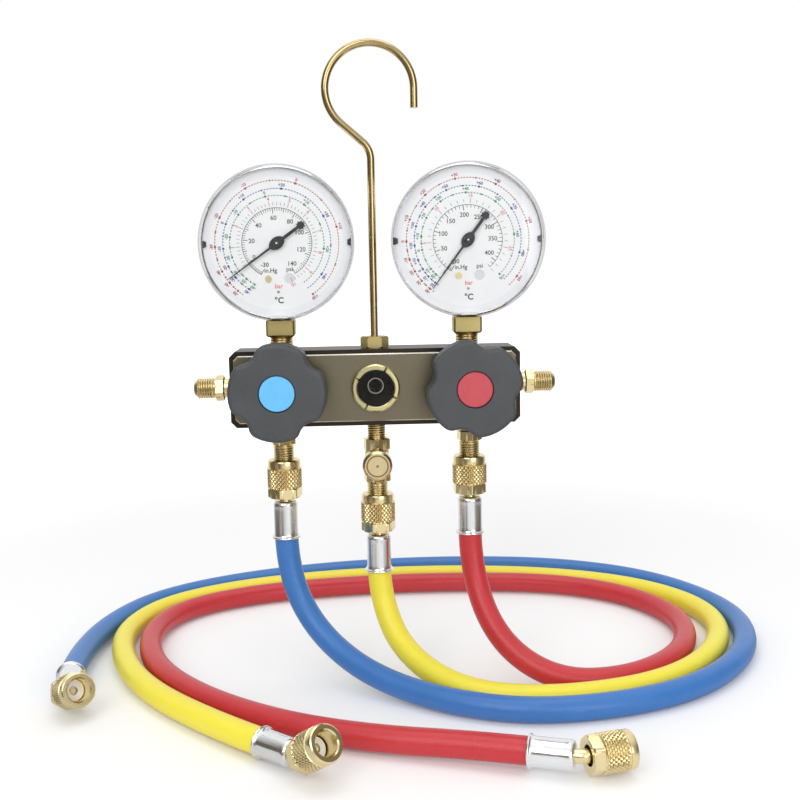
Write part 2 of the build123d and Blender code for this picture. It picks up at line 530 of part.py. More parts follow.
def bourdon_tubes():
    """Flattened C tubes from the socket's side round to a closed tip with a front lug."""
    tubes = []
    for side in SIDES.values():
        x = side * GAUGE_STATION
        ring = front_rod(BOURDON_R + BOURDON_T / 2, 0, 0, BOURDON_Y - BOURDON_W / 2, BOURDON_Y + BOURDON_W / 2)
        ring = ring - front_rod(BOURDON_R - BOURDON_T / 2, 0, 0, BOURDON_Y - BOURDON_W, BOURDON_Y + BOURDON_W)
        gap = math.radians(BOURDON_TIP_ANGLE)
        reach = 2 * BOURDON_R
        opening = front_plate(make_face(Polyline(
            (0, 0), (reach * math.cos(gap), reach * math.sin(gap)), (reach, -reach), (0, -reach), close=True)),
            BOURDON_Y - BOURDON_W, 2 * BOURDON_W, (0, 0))
        socket_box = Pos(0, BOURDON_Y, -BOURDON_R) * Box(SOCKET_IN_W, 2 * BOURDON_W, 3 * BOURDON_T)
        tip = (BOURDON_R * math.cos(gap), BOURDON_R * math.sin(gap))
        plug = Pos(tip[0], BOURDON_Y, tip[1]) * Rot(0, -BOURDON_TIP_ANGLE, 0) * Box(TIP_W, BOURDON_W, TIP_W)
        lug = front_rod(1.6, tip[0], tip[1], SOCKET_IN_FRONT - PLATE_T, BOURDON_Y)
        tubes.append(Pos(x, 0, GAUGE_Z) * (ring - opening - socket_box + plug + lug))
    return Compound(tubes)


def movement_frames():
    """Two plates on three pillars, bearing the pinion and the sector; back plate on the socket."""
    frames = []
    px, pz = PIVOT
    sx, sz = DIAL_SCREW
    width, height = PLATE_RIGHT - PLATE_LEFT, PLATE_TOP - PLATE_LOW
    shape = Pos((PLATE_LEFT + PLATE_RIGHT) / 2, (PLATE_LOW + PLATE_TOP) / 2) * RectangleRounded(width, height, 3)
    shape = shape - Circle(ARBOR_R + FIT) - Pos(px, pz) * Circle(SECTOR_ARBOR_R + FIT)
    for side in SIDES.values():
        centre = (side * GAUGE_STATION, GAUGE_Z)
        front = front_plate(shape - Pos(sx, sz) * Circle(DIAL_SCREW_R + SNUG), FRONT_PLATE_Y, PLATE_T, centre)
        frame = front + front_plate(shape, SOCKET_IN_FRONT - PLATE_T, PLATE_T, centre)
        for dx, dz in PILLARS:
            frame = frame + front_rod(PILLAR_R, centre[0] + dx, centre[1] + dz,
                                      FRONT_PLATE_Y + PLATE_T, SOCKET_IN_FRONT - PLATE_T)
        frames.append(frame)
    return Compound(frames)


def tooth(radius, out, down, half_root, half_tip, angle):
    """One straight-sided gear tooth across a pitch circle, in the front view."""
    shape = make_face(Polyline((radius - down, -half_root), (radius + out, -half_tip),
                               (radius + out, half_tip), (radius - down, half_root), close=True))
    return Rot(0, 0, angle) * shape


def pinion(x):
    """Small gear on the pointer's arbor, a tooth on the line of centres at rest."""
    pitch = math.pi * MODULE
    root_r = PINION_R - TOOTH_ADDENDUM - ROOT_GAP
    shape = Circle(root_r)
    for i in range(PINION_TEETH):
        shape = shape + tooth(PINION_R, TOOTH_ADDENDUM, TOOTH_ADDENDUM + 2 * ROOT_GAP, 0.24 * pitch, 0.10 * pitch,
                              SECTOR_PIVOT_ANGLE + i * 360 / PINION_TEETH)
    gear = front_plate(shape, MESH_Y - PINION_T / 2, PINION_T, (x, GAUGE_Z))
    nose_y = DIAL_Y - DIAL_T - POINTER_GAP
    return gear + front_rod(ARBOR_R, x, GAUGE_Z, nose_y, SOCKET_IN_FRONT - SEAT)


def sector(x):
    """Toothed sector with hub, rim, two spokes and a slotted tail for the link's pin."""
    pitch = math.pi * MODULE
    step = 360 / SECTOR_TEETH_FULL
    to_centre = 180 + SECTOR_PIVOT_ANGLE
    root_r = SECTOR_R - TOOTH_ADDENDUM - ROOT_GAP
    first = to_centre - (SECTOR_TEETH - SECTOR_TEETH_AHEAD) * step
    last = to_centre + SECTOR_TEETH_AHEAD * step
    rim = Circle(root_r) - Circle(root_r - SECTOR_RIM)
    a, b = math.radians(first), math.radians(last)
    reach = 2 * root_r
    wedge = make_face(Polyline((0, 0), (reach * math.cos(a), reach * math.sin(a)),
                               (reach * math.cos(b), reach * math.sin(b)), close=True))
    shape = (rim & wedge) + Circle(SECTOR_HUB_R)
    for angle in (first + 4, last - 4):
        shape = shape + Rot(0, 0, angle) * Pos(root_r / 2, 0) * Rectangle(root_r - 1, SECTOR_ARM_W)
    for i in range(SECTOR_TEETH):
        shape = shape + tooth(SECTOR_R, TOOTH_ADDENDUM, TOOTH_ADDENDUM + 2 * ROOT_GAP, 0.25 * pitch, 0.11 * pitch,
                              first + (i + 0.5) * step)
    tail = Rot(0, 0, TAIL_ANGLE) * Pos(TAIL_END / 2, 0) * Rectangle(TAIL_END, TAIL_W)
    slot = Rot(0, 0, TAIL_ANGLE) * Pos((TAIL_SLOT_IN + TAIL_SLOT_OUT) / 2, 0) * Rectangle(
        TAIL_SLOT_OUT - TAIL_SLOT_IN, TAIL_SLOT_W)
    shape = shape + tail - slot
    centre = (x + PIVOT[0], GAUGE_Z + PIVOT[1])
    plate = front_plate(shape, MESH_Y - SECTOR_T / 2, SECTOR_T, centre)
    return plate + front_rod(SECTOR_ARBOR_R, centre[0], centre[1], FRONT_PLATE_Y + SEAT, SOCKET_IN_FRONT - SEAT)


def gauge_link(x):
    """Flat link from the tube's lug to the pin in the sector's slotted tail."""
    tail = math.radians(TAIL_ANGLE)
    gap = math.radians(BOURDON_TIP_ANGLE)
    low = (PIVOT[0] + TAIL_R * math.cos(tail), PIVOT[1] + TAIL_R * math.sin(tail))
    high = (BOURDON_R * math.cos(gap), BOURDON_R * math.sin(gap))
    length = math.hypot(high[0] - low[0], high[1] - low[1])
    turn = math.degrees(math.atan2(high[1] - low[1], high[0] - low[0]))
    shape = Pos((high[0] + low[0]) / 2, (high[1] + low[1]) / 2) * Rot(0, 0, turn) * SlotOverall(
        length + LINK_W, LINK_W)
    front = SOCKET_IN_FRONT - PLATE_T - SEAT - LINK_T
    bar = front_plate(shape, front, LINK_T, (x, GAUGE_Z))
    return bar + front_rod(LINK_PIN_R, x + low[0], GAUGE_Z + low[1], MESH_Y - SECTOR_T / 2, front)


def pointer(x, rest_angle):
    """Tapered needle with a hub boss and a thicker counterweight tail that ends in a disc."""
    back_y = DIAL_Y - DIAL_T - POINTER_GAP
    needle = make_face(Polyline((0, -0.9), (POINTER_L, -0.25), (POINTER_L, 0.25), (0, 0.9), close=True))
    blob_x = POINTER_BLOB_R - POINTER_TAIL
    tail = make_face(Polyline((0, -0.9), (blob_x, -1.3), (blob_x, 1.3), (0, 0.9), close=True))
    blob = Pos(blob_x, 0) * Circle(POINTER_BLOB_R)
    shape = Rot(0, 0, rest_angle) * (needle + tail + blob)
    flat = front_plate(shape, back_y - POINTER_T, POINTER_T, (x, GAUGE_Z))
    boss = front_rod(POINTER_HUB_R, x, GAUGE_Z, back_y - POINTER_HUB_T, back_y)
    boss = chamfer(boss.faces().sort_by(Axis.Y)[0].edges(), 0.9)
    return flat + boss - front_rod(ARBOR_R, x, GAUGE_Z, back_y - 0.1, back_y + 1)


# ---------------------------------------------------------------- hoses and their fittings
def hose_nut(plane):
    """Knurled flare nut, its open end on the plane, the back along +z."""
    half = NUT_AF / 2
    corner = NUT_AF / math.sqrt(3)
    knurl_end = NUT_RING + NUT_KNURL
    barrel = turned([(NUT_BORE_R, 0), (NUT_RING_R - 0.9, 0), (NUT_RING_R, 1.2), (NUT_RING_R, NUT_RING),
                     (NUT_R, NUT_RING + 0.5), (NUT_R, knurl_end - 0.4), (NUT_R - 0.6, knurl_end),
                     (NUT_RELIEF_R, knurl_end), (NUT_RELIEF_R, NUT_THREAD), (NUT_BORE_R, NUT_THREAD)])
    hexa = hexagon(NUT_AF, (0, 0, knurl_end), (0, 0, NUT_L))
    nut = barrel + (hexa - rod(NUT_BACK_R, (0, 0, knurl_end - 1), (0, 0, NUT_L + 1)))
    floor = rod(NUT_R - 1, (0, 0, NUT_BORE_DEPTH), (0, 0, knurl_end))
    nut = nut + floor
    return plane * (nut - rod(NUT_BACK_R, (0, 0, NUT_BORE_DEPTH - 1), (0, 0, NUT_L + 1)))


def ferrule(plane):
    """Crimped sleeve, its closed end on the plane, its flange towards the hose."""
    bore, sleeve = STEM_R + SNUG, HOSE_R + SNUG
    return plane * turned([
        (bore, 0), (FERRULE_R - FERRULE_SHOULDER, 0), (FERRULE_R - FERRULE_SHOULDER * 0.3, FERRULE_SHOULDER * 0.3),
        (FERRULE_R, FERRULE_SHOULDER), (FERRULE_R, FERRULE_L - FLANGE_T - 0.4), (FLANGE_R, FERRULE_L - FLANGE_T),
        (FLANGE_R, FERRULE_L), (sleeve, FERRULE_L), (sleeve, FERRULE_END_T), (bore, FERRULE_END_T)])


def barb(plane):
    """The tail's stem inside its ferrule, on the ferrule's plane, with a hose barb."""
    top = FERRULE_END_T + SNUG
    return plane * turned([(STEM_BORE_R, -1), (STEM_R, -1), (STEM_R, top), (BARB_R, top),
                           (BARB_R, top + BARB_L), (STEM_BORE_R, top + BARB_L)])


def port_plane(colour, drop):
    """Plane on a port hose's axis, a distance below its nut's front, z down."""
    return Plane(origin=(HOSE_X[colour], 0, HOSE_NUT_Z[colour] - drop), x_dir=(1, 0, 0), z_dir=(0, 0, -1))


def port_tails():
    """Straight tails behind the port nuts: collar under the gasket, stem and barb."""
    tails = []
    for colour in HOSE_X:
        collar_z = ENGAGED + GASKET_T
        collar = turned([(STEM_BORE_R, collar_z), (COLLAR_R, collar_z), (COLLAR_R, NUT_BORE_DEPTH - SEAT),
                         (STEM_R, NUT_BORE_DEPTH - SEAT), (STEM_R, STRAIGHT_STACK), (STEM_BORE_R, STRAIGHT_STACK)])
        tails.append(port_plane(colour, 0) * collar + barb(port_plane(colour, STRAIGHT_STACK)))
    return Compound(tails)


def gasket(start):
    return turned([(GASKET_HOLE_R, start), (GASKET_R, start), (GASKET_R, start + GASKET_T),
                   (GASKET_HOLE_R, start + GASKET_T)])


def free_end(colour):
    """Planes of a free end: ferrule mouth outwards, and the nut's front looking back.

    The ferrule goes on from the hose's last run. The tail bends by the elbow's angle, in a
    plane turned about the ferrule from straight up towards the ferrule's left.
    """
    route = hose_route(colour)
    last, before = Vector(*route[-1]), Vector(*route[-2])
    forward = (last - before).normalized()
    side = Vector(0, 0, 1).cross(forward).normalized()
    rise = forward.cross(side).normalized()
    turn = math.radians(FREE_ENDS[colour])
    lean = rise * math.cos(turn) + side * math.sin(turn)
    bend = math.radians(ELBOW_ANGLE)
    out = forward * math.cos(bend) + lean * math.sin(bend)
    closed = last + forward * (FERRULE_L - HOSE_GRIP)
    corner = closed + forward * ELBOW_FERRULE_SIDE
    nut_front = corner + out * (ELBOW_NUT_SIDE + NUT_L)
    return closed, forward, corner, out, nut_front


def free_tail(colour):
    """Bent tail with a core depressor: barb, elbow, collar with gasket cup, and pin."""
    closed, forward, corner, out, nut_front = free_end(colour)
    nut_plane = Plane(origin=nut_front, z_dir=-out)
    cup_z = NUT_BORE_DEPTH - SEAT - WEB_T - GASKET_T + CUP_WALL
    web_z = NUT_BORE_DEPTH - SEAT - WEB_T
    back_z = NUT_BORE_DEPTH - SEAT
    collar = turned([(0, web_z), (GASKET_R + SNUG, web_z), (GASKET_R + SNUG, cup_z), (COLLAR_R, cup_z),
                     (COLLAR_R, back_z), (STEM_R, back_z), (STEM_R, back_z + 1), (0, back_z + 1)])
    pin = rod(PIN_R, (0, 0, web_z - GASKET_T + 0.4), (0, 0, web_z))
    head = nut_plane * (collar + pin)
    start = nut_front - out * (back_z + 1)
    path = FilletPolyline(start, corner, closed - forward * 1, radius=ELBOW_BEND_R)
    stem = sweep(Plane(origin=start, z_dir=-out) * Circle(STEM_R), path=path)
    tail = head + stem
    tail = tail - sweep(Plane(origin=start, z_dir=-out) * Circle(STEM_BORE_R), path=path)
    for sign in (-1, 1):
        port = Pos(sign * STEM_BORE_R, 0, back_z) * Box(WEB_SLOT, WEB_SLOT, 3 * WEB_T)
        tail = tail - nut_plane * port
    return tail + barb(Plane(origin=closed, z_dir=-forward))


def hose_route(colour):
    """Route points of a hose, from inside its port ferrule to inside its free ferrule."""
    x = HOSE_X[colour]
    mouth_z = HOSE_NUT_Z[colour] - STRAIGHT_STACK - FERRULE_L
    start = (x, 0, mouth_z + HOSE_GRIP)
    below = (x, 0, mouth_z - PORT_RUN[colour])
    return [start, below] + [(px, py, LIE_Z + lift) for px, py, lift in ROUTES[colour]]


PORT_RUN = {"blue": 21.7, "yellow": 15.2, "red": 21.7}


def hose(colour):
    """Hose swept along straight runs joined by the largest arcs that they allow."""
    points = [Vector(*p) for p in hose_route(colour)]
    runs = [b - a for a, b in zip(points, points[1:])]
    radii = []
    for run, following in zip(runs, runs[1:]):
        half_turn = math.radians(run.get_angle(following)) / 2
        radii.append(0.45 * min(run.length, following.length) / math.tan(half_turn))
    path = FilletPolyline(*points, radius=radii)
    length = path.length
    tube = sweep(Plane(origin=points[0], z_dir=runs[0]) * Circle(HOSE_R), path=path)
    section = math.pi * HOSE_R ** 2
    print(f"{colour} hose: length {length:.1f}, tightest {min(radii):.1f}, volume ratio "
          f"{tube.volume / (section * length):.5f}")
    print("  radii", [round(r) for r in radii], "runs", [round(run.length) for run in runs])
    for end, inward in ((points[0], runs[0]), (points[-1], runs[-1] * -1)):
        bore = Plane(origin=end, z_dir=inward) * Cylinder(
            BARB_R + SNUG, BARB_L + 2 * SEAT, align=(Align.CENTER, Align.CENTER, Align.MIN))
        tube = tube - bore
    return tube


# ---------------------------------------------------------------- build and write
def main():
    save(manifold_body(), "manifold_body")
    save(end_ports(), "end_ports")
    save(hose_ports(), "hose_ports")
    save(service_tee(), "service_tee")
    save(service_cap(), "service_cap")
    save(cap_seal(), "cap_seal")
    save(hook_rod(), "hook_rod")
    save(hook_nut(), "hook_nut")
    for shape, node in zip(sight_parts(), ("sight_ring", "sight_glass", "sight_seal")):
        save(shape, node)
    save(packing_rings(), "packing_rings")
    save(dial_screws(), "dial_screws")
    save(bourdon_tubes(), "bourdon_tubes")
    save(movement_frames(), "movement_frames")
    dips = {"low": LOW_DIP_ANGLE, "high": HIGH_DIP_ANGLE}
    rests = {"low": LOW_REST_ANGLE, "high": HIGH_REST_ANGLE}
    for name, side in SIDES.items():
        x, gauge_x = side * STATION, side * GAUGE_STATION
        save(valve_bonnet(x), f"{name}_valve_bonnet")
        save(spindle(x), f"{name}_spindle")
        save(seat_disc(x), f"{name}_seat_disc")
        save(knob(x, dips[name]), f"{name}_knob")
        save(knob_cap(x), f"{name}_knob_cap")
        save(gauge_socket(gauge_x), f"{name}_gauge_socket")
        save(gauge_case(gauge_x), f"{name}_gauge_case")
        save(gauge_lens(gauge_x), f"{name}_gauge_lens")
        save(gauge_dial(gauge_x), f"{name}_gauge_dial")
        save(pinion(gauge_x), f"{name}_pinion")
        save(sector(gauge_x), f"{name}_sector")
        save(gauge_link(gauge_x), f"{name}_gauge_link")
        save(pointer(gauge_x, rests[name]), f"{name}_pointer")
    save(port_tails(), "port_tails")
    save(Compound([port_plane(c, 0) * gasket(ENGAGED) for c in HOSE_X]), "port_gaskets")
    save(Compound([ferrule(port_plane(c, STRAIGHT_STACK)) for c in HOSE_X]), "port_ferrules")
    gaskets = []
    for colour in HOSE_X:
        closed, forward, corner, out, nut_front = free_end(colour)
        save(hose(colour), f"{colour}_hose")
        save(hose_nut(port_plane(colour, 0)), f"{colour}_port_nut")
        save(hose_nut(Plane(origin=nut_front, z_dir=-out)), f"{colour}_free_nut")
        save(ferrule(Plane(origin=closed, z_dir=-forward)), f"{colour}_free_ferrule")
        save(free_tail(colour), f"{colour}_free_tail")
        gaskets.append(Plane(origin=nut_front, z_dir=-out) * gasket(NUT_BORE_DEPTH - SEAT - WEB_T - GASKET_T))
        print(colour, "nut front", nut_front, "out", out, "ferrule", closed)
    save(Compound(gaskets), "free_gaskets")


main()
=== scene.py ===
"""Refrigerant manifold gauge set: camera, light, hoses, threads, knurls, dial printing and finishes."""

import math

import bpy
import numpy as np
from mathutils import Matrix, Vector


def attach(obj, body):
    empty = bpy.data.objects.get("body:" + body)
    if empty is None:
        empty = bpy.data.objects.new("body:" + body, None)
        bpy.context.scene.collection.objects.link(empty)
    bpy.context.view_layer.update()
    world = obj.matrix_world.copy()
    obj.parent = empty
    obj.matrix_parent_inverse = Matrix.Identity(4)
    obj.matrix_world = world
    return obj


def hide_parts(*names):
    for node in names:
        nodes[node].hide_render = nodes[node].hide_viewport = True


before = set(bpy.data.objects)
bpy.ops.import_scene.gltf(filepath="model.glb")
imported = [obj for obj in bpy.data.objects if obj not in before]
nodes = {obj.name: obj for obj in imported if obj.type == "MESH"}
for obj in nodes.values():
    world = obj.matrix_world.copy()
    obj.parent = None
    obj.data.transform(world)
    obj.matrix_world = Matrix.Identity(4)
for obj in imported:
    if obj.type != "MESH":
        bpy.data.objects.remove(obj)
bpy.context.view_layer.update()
bpy.context.scene.view_settings.view_transform = "Standard"

# ---------------------------------------------------------------- sizes, mm
MM = 0.001
AXIS_Z, TOP_Z, BOTTOM_Z = -175.0, -155.0, -195.0  # axis, top and bottom of the block
PAD_Y, PAD_BEVEL = -13.5, 0.6
END_PORT_X, HOSE_PORT_X = 76.0, 50.0
GAUGE_X = {"low": -49.25, "high": 49.25}
GAUGE_Z = -99.5
SERVICE_Z = -215.55
FLOOR_Z = -334.0
LIE_Z = -327.65  # middle of a hose that lies on the floor
HOSE_R = 6.35
DIAL_FACE_Y, RIM_BACK_Y = -10.35, -10.4
INK_BACK_Y = DIAL_FACE_Y - 0.006  # printing starts just off the enamel
POINTER_BACK_Y = -11.6
POINTER_REST = {"low": 215.5, "high": 233.3}  # degrees up from the right, with no pressure
NOTCH_ANGLES = (62.0, 152.0, 242.0, 332.0)  # degrees, notches round the sight ring
THREAD_PITCH, THREAD_DEPTH = 1.27, 0.40
KNURL_DEPTH, KNURL_LINES = 0.6, 26
KNURL_LEAN, KNURL_WIDEN = 0.9, 1.3  # slope of the lines, and width of their crests
FADE_L = 0.5  # over which a thread or knurl starts and ends
FINE_STEP = {"thread": 0.08, "knurl": 0.17}  # between the sampled rows of a run
UV_L = 20.0  # of profile for one unit of V
PORT_X = {"blue": -HOSE_PORT_X, "yellow": 0.0, "red": HOSE_PORT_X}
PORT_NUT_Z = {"blue": -214.2, "yellow": -233.9, "red": -214.2}
HEX_TURN = {"blue": -15, "yellow": -10, "red": 27}  # degrees, corners of the nut's hexagon
NUT_L, FERRULE_GAP = 20.7, 1.9
PORT_FERRULE_Z = {c: z - NUT_L - FERRULE_GAP for c, z in PORT_NUT_Z.items()}

# Free ends: nut front and the direction it faces, the ferrule's closed end, and its way to the hose.
FREE_NUT = {
    "blue": ((-150.433, -56.055, -317.578), (0.52892, -0.77524, 0.34532)),
    "yellow": ((-25.145, -132.746, -313.261), (0.56451, -0.62684, 0.53702)),
    "red": ((107.474, -125.632, -323.905), (0.97824, 0.20657, 0.01928)),
}
FREE_FERRULE = {
    "blue": ((-163.006, -35.136, -325.531), (-7.2, 49.5, -0.7)),
    "yellow": ((-40.483, -116.287, -325.623), (-37.7, 32.9, -1.0)),
    "red": ((82.068, -129.263, -324.419), (-41.3, 15.1, -1.0)),
}

# Hose routes from the port ferrule to the free ferrule: x, y and height above the lying hose.
ROUTES = {
    "blue": [(-32, -12, 17), (2, -40, 1), (54, -74, 0), (110, -74, 0), (165, -51, 0), (207, -1, 0),
             (219.5, 62, 0), (190, 128, 0), (135, 166, 0), (62, 180, 0), (-16, 177, 0), (-88, 157, 0),
             (-142, 122, 0), (-165, 75, 0.4), (-170.4, 15.7, 1.4), (-165.4, -19.0, 1.9)],
    "yellow": [(12, -19, 9.7), (42, -52, 0), (91, -62.5, 0), (152, -43.5, 0), (194, 7, 0), (205, 64, 0),
               (175, 116, 0), (116, 146, 0), (46, 157, 0), (-25, 154, 0), (-90, 137, 0), (-137, 106, 0),
               (-154, 60, 0), (-145, 11, 0), (-121, -36, 0), (-79.2, -82.5, 1), (-52.8, -105.5, 1.7)],
    "red": [(62, -23, 16), (91, -41, 0), (132, -38, 0), (169.5, -3, 0), (184, 48, 0), (165, 98, 0),
            (121, 129, 0), (54, 139, 0), (-18, 137, 0), (-81, 124, 0), (-124, 97, 0), (-138, 56, 0),
            (-127, 3, 0), (-96, -43, 0), (-52, -79, 0), (-6, -100.5, 0.6), (39.5, -113.7, 2.2),
            (66.7, -123.7, 2.9)],
}
ROUTE_TOP = {"blue": (-253.5, -278.9), "yellow": (-273.2, -292.1), "red": (-253.5, -278.9)}


# ---------------------------------------------------------------- shader nodes and objects
def new_object(name, data):
    """An object for a mesh, a curve, a lamp or a camera, in the scene."""
    obj = bpy.data.objects.new(name, data)
    bpy.context.scene.collection.objects.link(obj)
    return obj


def feed(tree, value, socket):
    """Links another socket to a socket, or types a number or a colour into it."""
    if isinstance(value, bpy.types.NodeSocket):
        tree.links.new(value, socket)
    else:
        socket.default_value = (*value, 1) if isinstance(value, tuple) else value


def add_node(tree, kind, inputs=None, **settings):
    """A shader node with its settings, and with its inputs linked or typed in."""
    node = tree.nodes.new(f"ShaderNode{kind}")
    for name, value in settings.items():
        setattr(node, name, value)
    for label, value in (inputs or {}).items():
        feed(tree, value, node.inputs[label])
    return node


def calc(tree, operation, *values, clamp=False):
    """Result of a math node on sockets and plain numbers."""
    return add_node(tree, "Math", dict(enumerate(values)), operation=operation, use_clamp=clamp).outputs[0]


def remap(tree, value, low, high, to=(0.0, 1.0), smooth=False):
    """Moves low to high onto the two values of `to`, and holds them outside."""
    inputs = {"Value": value, "From Min": low, "From Max": high, "To Min": to[0], "To Max": to[1]}
    curve = "SMOOTHSTEP" if smooth else "LINEAR"
    return add_node(tree, "MapRange", inputs, interpolation_type=curve).outputs[0]


def mix(tree, share, first, second, kind="RGBA"):
    """The first colour or value where the share is 0, and the second laid over it where it is 1."""
    inputs = {"Factor": share, "A": first, "B": second}
    return add_node(tree, "Mix", inputs, data_type=kind).outputs["Result"]


def mix_shaders(tree, share, first, second):
    """The first shader where the share is 0 and the second where it is 1."""
    return add_node(tree, "MixShader", {0: share, 1: first, 2: second}).outputs[0]


def length_of(tree, vector):
    """Length of a vector."""
    return add_node(tree, "VectorMath", {0: vector}, operation="LENGTH").outputs["Value"]


def grey_noise(tree, vector, size, detail=3):
    """Noise of a size, read at a place."""
    return add_node(tree, "TexNoise", {"Vector": vector, "Scale": size, "Detail": detail}).outputs[0]


def use_group(tree, group, vector):
    """A shared group placed in a tree, read at a place or in a direction."""
    return add_node(tree, "Group", {"Vector": vector}, node_tree=group)


# ---------------------------------------------------------------- camera, floor and light
FLOOR_HALF, FLOOR_GAP = 6.0, 0.0002  # metres
LAMP_AIM = (0, 0, -0.2)  # metres
SOFT_STRENGTH = 0.72  # of the white that matt surfaces see
FRONT_LOOK, FRONT_SHARE = (0.2, 0.6), 0.34  # where the room's front starts, how much it dims
FRONT_SHADE = (0.06, 0.055, 0.05)
CEILING_LOOK = (0.45, 0.85)  # where the walls turn into a white ceiling


def make_camera():
    """A camera a little above the gauges, turned slightly right, tilted down and rolled."""
    yaw, tilt, roll = math.radians(1.909), math.radians(7.27), math.radians(1.05)
    forward = Vector((math.sin(yaw) * math.cos(tilt), math.cos(yaw) * math.cos(tilt), -math.sin(tilt)))
    right = Vector((math.cos(yaw), -math.sin(yaw), 0))
    up = right.cross(forward)
    across = right * math.cos(roll) - up * math.sin(roll)
    above = right * math.sin(roll) + up * math.cos(roll)
    data = bpy.data.cameras.new("front_camera")
    data.sensor_width, data.lens = 36.0, 47.25
    data.clip_start, data.clip_end = 0.01, 50.0
    camera = new_object("front_camera", data)
    turn = Matrix((across, above, -forward)).transposed().to_4x4()
    turn.translation = Vector((-5.63, -558.78, -112.31)) * MM
    camera.matrix_world = turn
    bpy.context.scene.camera = camera


def make_light(name, place, size, power):
    """A soft white square lamp that faces the gauge set."""
    data = bpy.data.lights.new(name, "AREA")
    data.size, data.energy = size, power
    lamp = new_object(name, data)
    lamp.location = place
    lamp.rotation_euler = (Vector(LAMP_AIM) - Vector(place)).to_track_quat("-Z", "Y").to_euler()


# What metal sees level with it: a share of a full turn, from behind through the left, front and right,
# and how bright the room is there.
ROOM_WALLS = [
    (0.00, 1.00), (0.14, 0.95), (0.20, 0.18), (0.29, 0.12), (0.34, 0.30), (0.37, 0.45), (0.40, 0.14),
    (0.43, 0.20), (0.47, 0.80), (0.52, 0.95), (0.60, 0.95), (0.64, 0.36), (0.68, 0.20), (0.78, 0.12),
    (0.84, 0.55), (0.88, 1.00), (1.00, 1.00),
]


def make_room():
    """Brightness of the studio's walls in a direction, a ramp over its compass angle, and how far
    that direction looks to the front."""
    group, source, sink = shared_group("studio_walls", [("Vector", "Vector", None)],
                                       [("Color", "Color"), ("Front", "Float")])
    look = add_node(group, "SeparateXYZ", {0: source.outputs["Vector"]}).outputs
    toward = calc(group, "MULTIPLY", look["Y"], -1.0)
    turn = calc(group, "ARCTAN2", look["X"], toward)
    walls = add_node(group, "ValToRGB", {0: remap(group, turn, -math.pi, math.pi)})
    ramp = walls.color_ramp
    while len(ramp.elements) > 1:
        ramp.elements.remove(ramp.elements[-1])
    ramp.elements[0].position, ramp.elements[0].color = ROOM_WALLS[0][0], (1, 1, 1, 1)
    for position, bright in ROOM_WALLS[1:]:
        ramp.elements.new(position).color = (bright, bright ** 1.08, bright ** 1.2, 1)
    feed(group, walls.outputs["Color"], sink.inputs["Color"])
    feed(group, remap(group, toward, *FRONT_LOOK), sink.inputs["Front"])
    return group


def make_world(walls_group):
    """White to the camera, soft white to matt surfaces, and a room with dark sides for metal.

    A first look and one through clear pieces see the white. A mirror look, and one whose mirror
    bounces outnumber its matt ones, see the room.
    """
    world = bpy.data.worlds.new("studio")
    bpy.context.scene.world = world
    world.use_nodes = True
    tree = world.node_tree
    tree.nodes.clear()

    def backdrop(colour, strength=1.0):
        return add_node(tree, "Background", {"Color": colour, "Strength": strength}).outputs[0]

    rays = add_node(tree, "LightPath").outputs
    look = add_node(tree, "TexCoord").outputs["Generated"]
    walls = use_group(tree, walls_group, look).outputs
    ahead = calc(tree, "MULTIPLY", walls["Front"], FRONT_SHARE)
    sides = mix(tree, ahead, walls["Color"], FRONT_SHADE)
    rise = add_node(tree, "SeparateXYZ", {0: look}).outputs["Z"]
    room = mix(tree, remap(tree, rise, *CEILING_LOOK), sides, (1, 1, 1))
    through = calc(tree, "SUBTRACT", rays["Glossy Depth"], rays["Diffuse Depth"], clamp=True)
    shine = calc(tree, "MAXIMUM", rays["Is Glossy Ray"], through)
    lit = mix_shaders(tree, shine, backdrop((1, 1, 1), SOFT_STRENGTH), backdrop(room))
    direct = calc(tree, "MAXIMUM", rays["Is Camera Ray"], rays["Is Transmission Ray"])
    bounces = calc(tree, "ADD", rays["Diffuse Depth"], rays["Glossy Depth"])
    seen = calc(tree, "SUBTRACT", direct, bounces, clamp=True)
    add_node(tree, "OutputWorld", {0: mix_shaders(tree, seen, lit, backdrop((1, 1, 1)))})


def make_floor(walls_group):
    """A wide pale floor that fades into the white background, and that metal sees as the room's sides."""
    z = FLOOR_Z * MM - FLOOR_GAP
    corners = [(x * FLOOR_HALF, y * FLOOR_HALF, z) for x, y in ((-1, -1), (1, -1), (1, 1), (-1, 1))]
    mesh = bpy.data.meshes.new("floor")
    mesh.from_pydata(corners, [], [(0, 1, 2, 3)])
    floor = new_object("floor", mesh)
    finish, tree, shader = new_finish("pale_floor", (0.86, 0.86, 0.86), roughness=0.9)
    shader.inputs["Specular IOR Level"].default_value = 0.1
    rays = add_node(tree, "LightPath").outputs
    place = add_node(tree, "TexCoord").outputs["Object"]
    reach = length_of(tree, place)
    fade = remap(tree, reach, 0.45, 1.3, to=(0.10, 0.75), smooth=True)
    seen = calc(tree, "MAXIMUM", rays["Is Camera Ray"], rays["Is Glossy Ray"])
    glow = mix(tree, calc(tree, "MULTIPLY", seen, fade), (0, 0, 0), (1, 1, 1))
    feed(tree, glow, shader.inputs["Emission Color"])
    shader.inputs["Emission Strength"].default_value = 1.0
    room = add_node(tree, "Emission", {"Color": use_group(tree, walls_group, place).outputs["Color"]})
    shown = calc(tree, "MULTIPLY", remap(tree, reach, 0.28, 0.55), rays["Is Glossy Ray"])
    both = mix_shaders(tree, shown, shader.outputs[0], room.outputs[0])
    feed(tree, both, tree.nodes["Material Output"].inputs["Surface"])
    mesh.materials.append(finish)


# ---------------------------------------------------------------- finishes
LENS_COLOUR = (0.985, 0.99, 0.995)
SHADOW_SHARE = 0.07  # of a lamp's light that clear pieces hold back


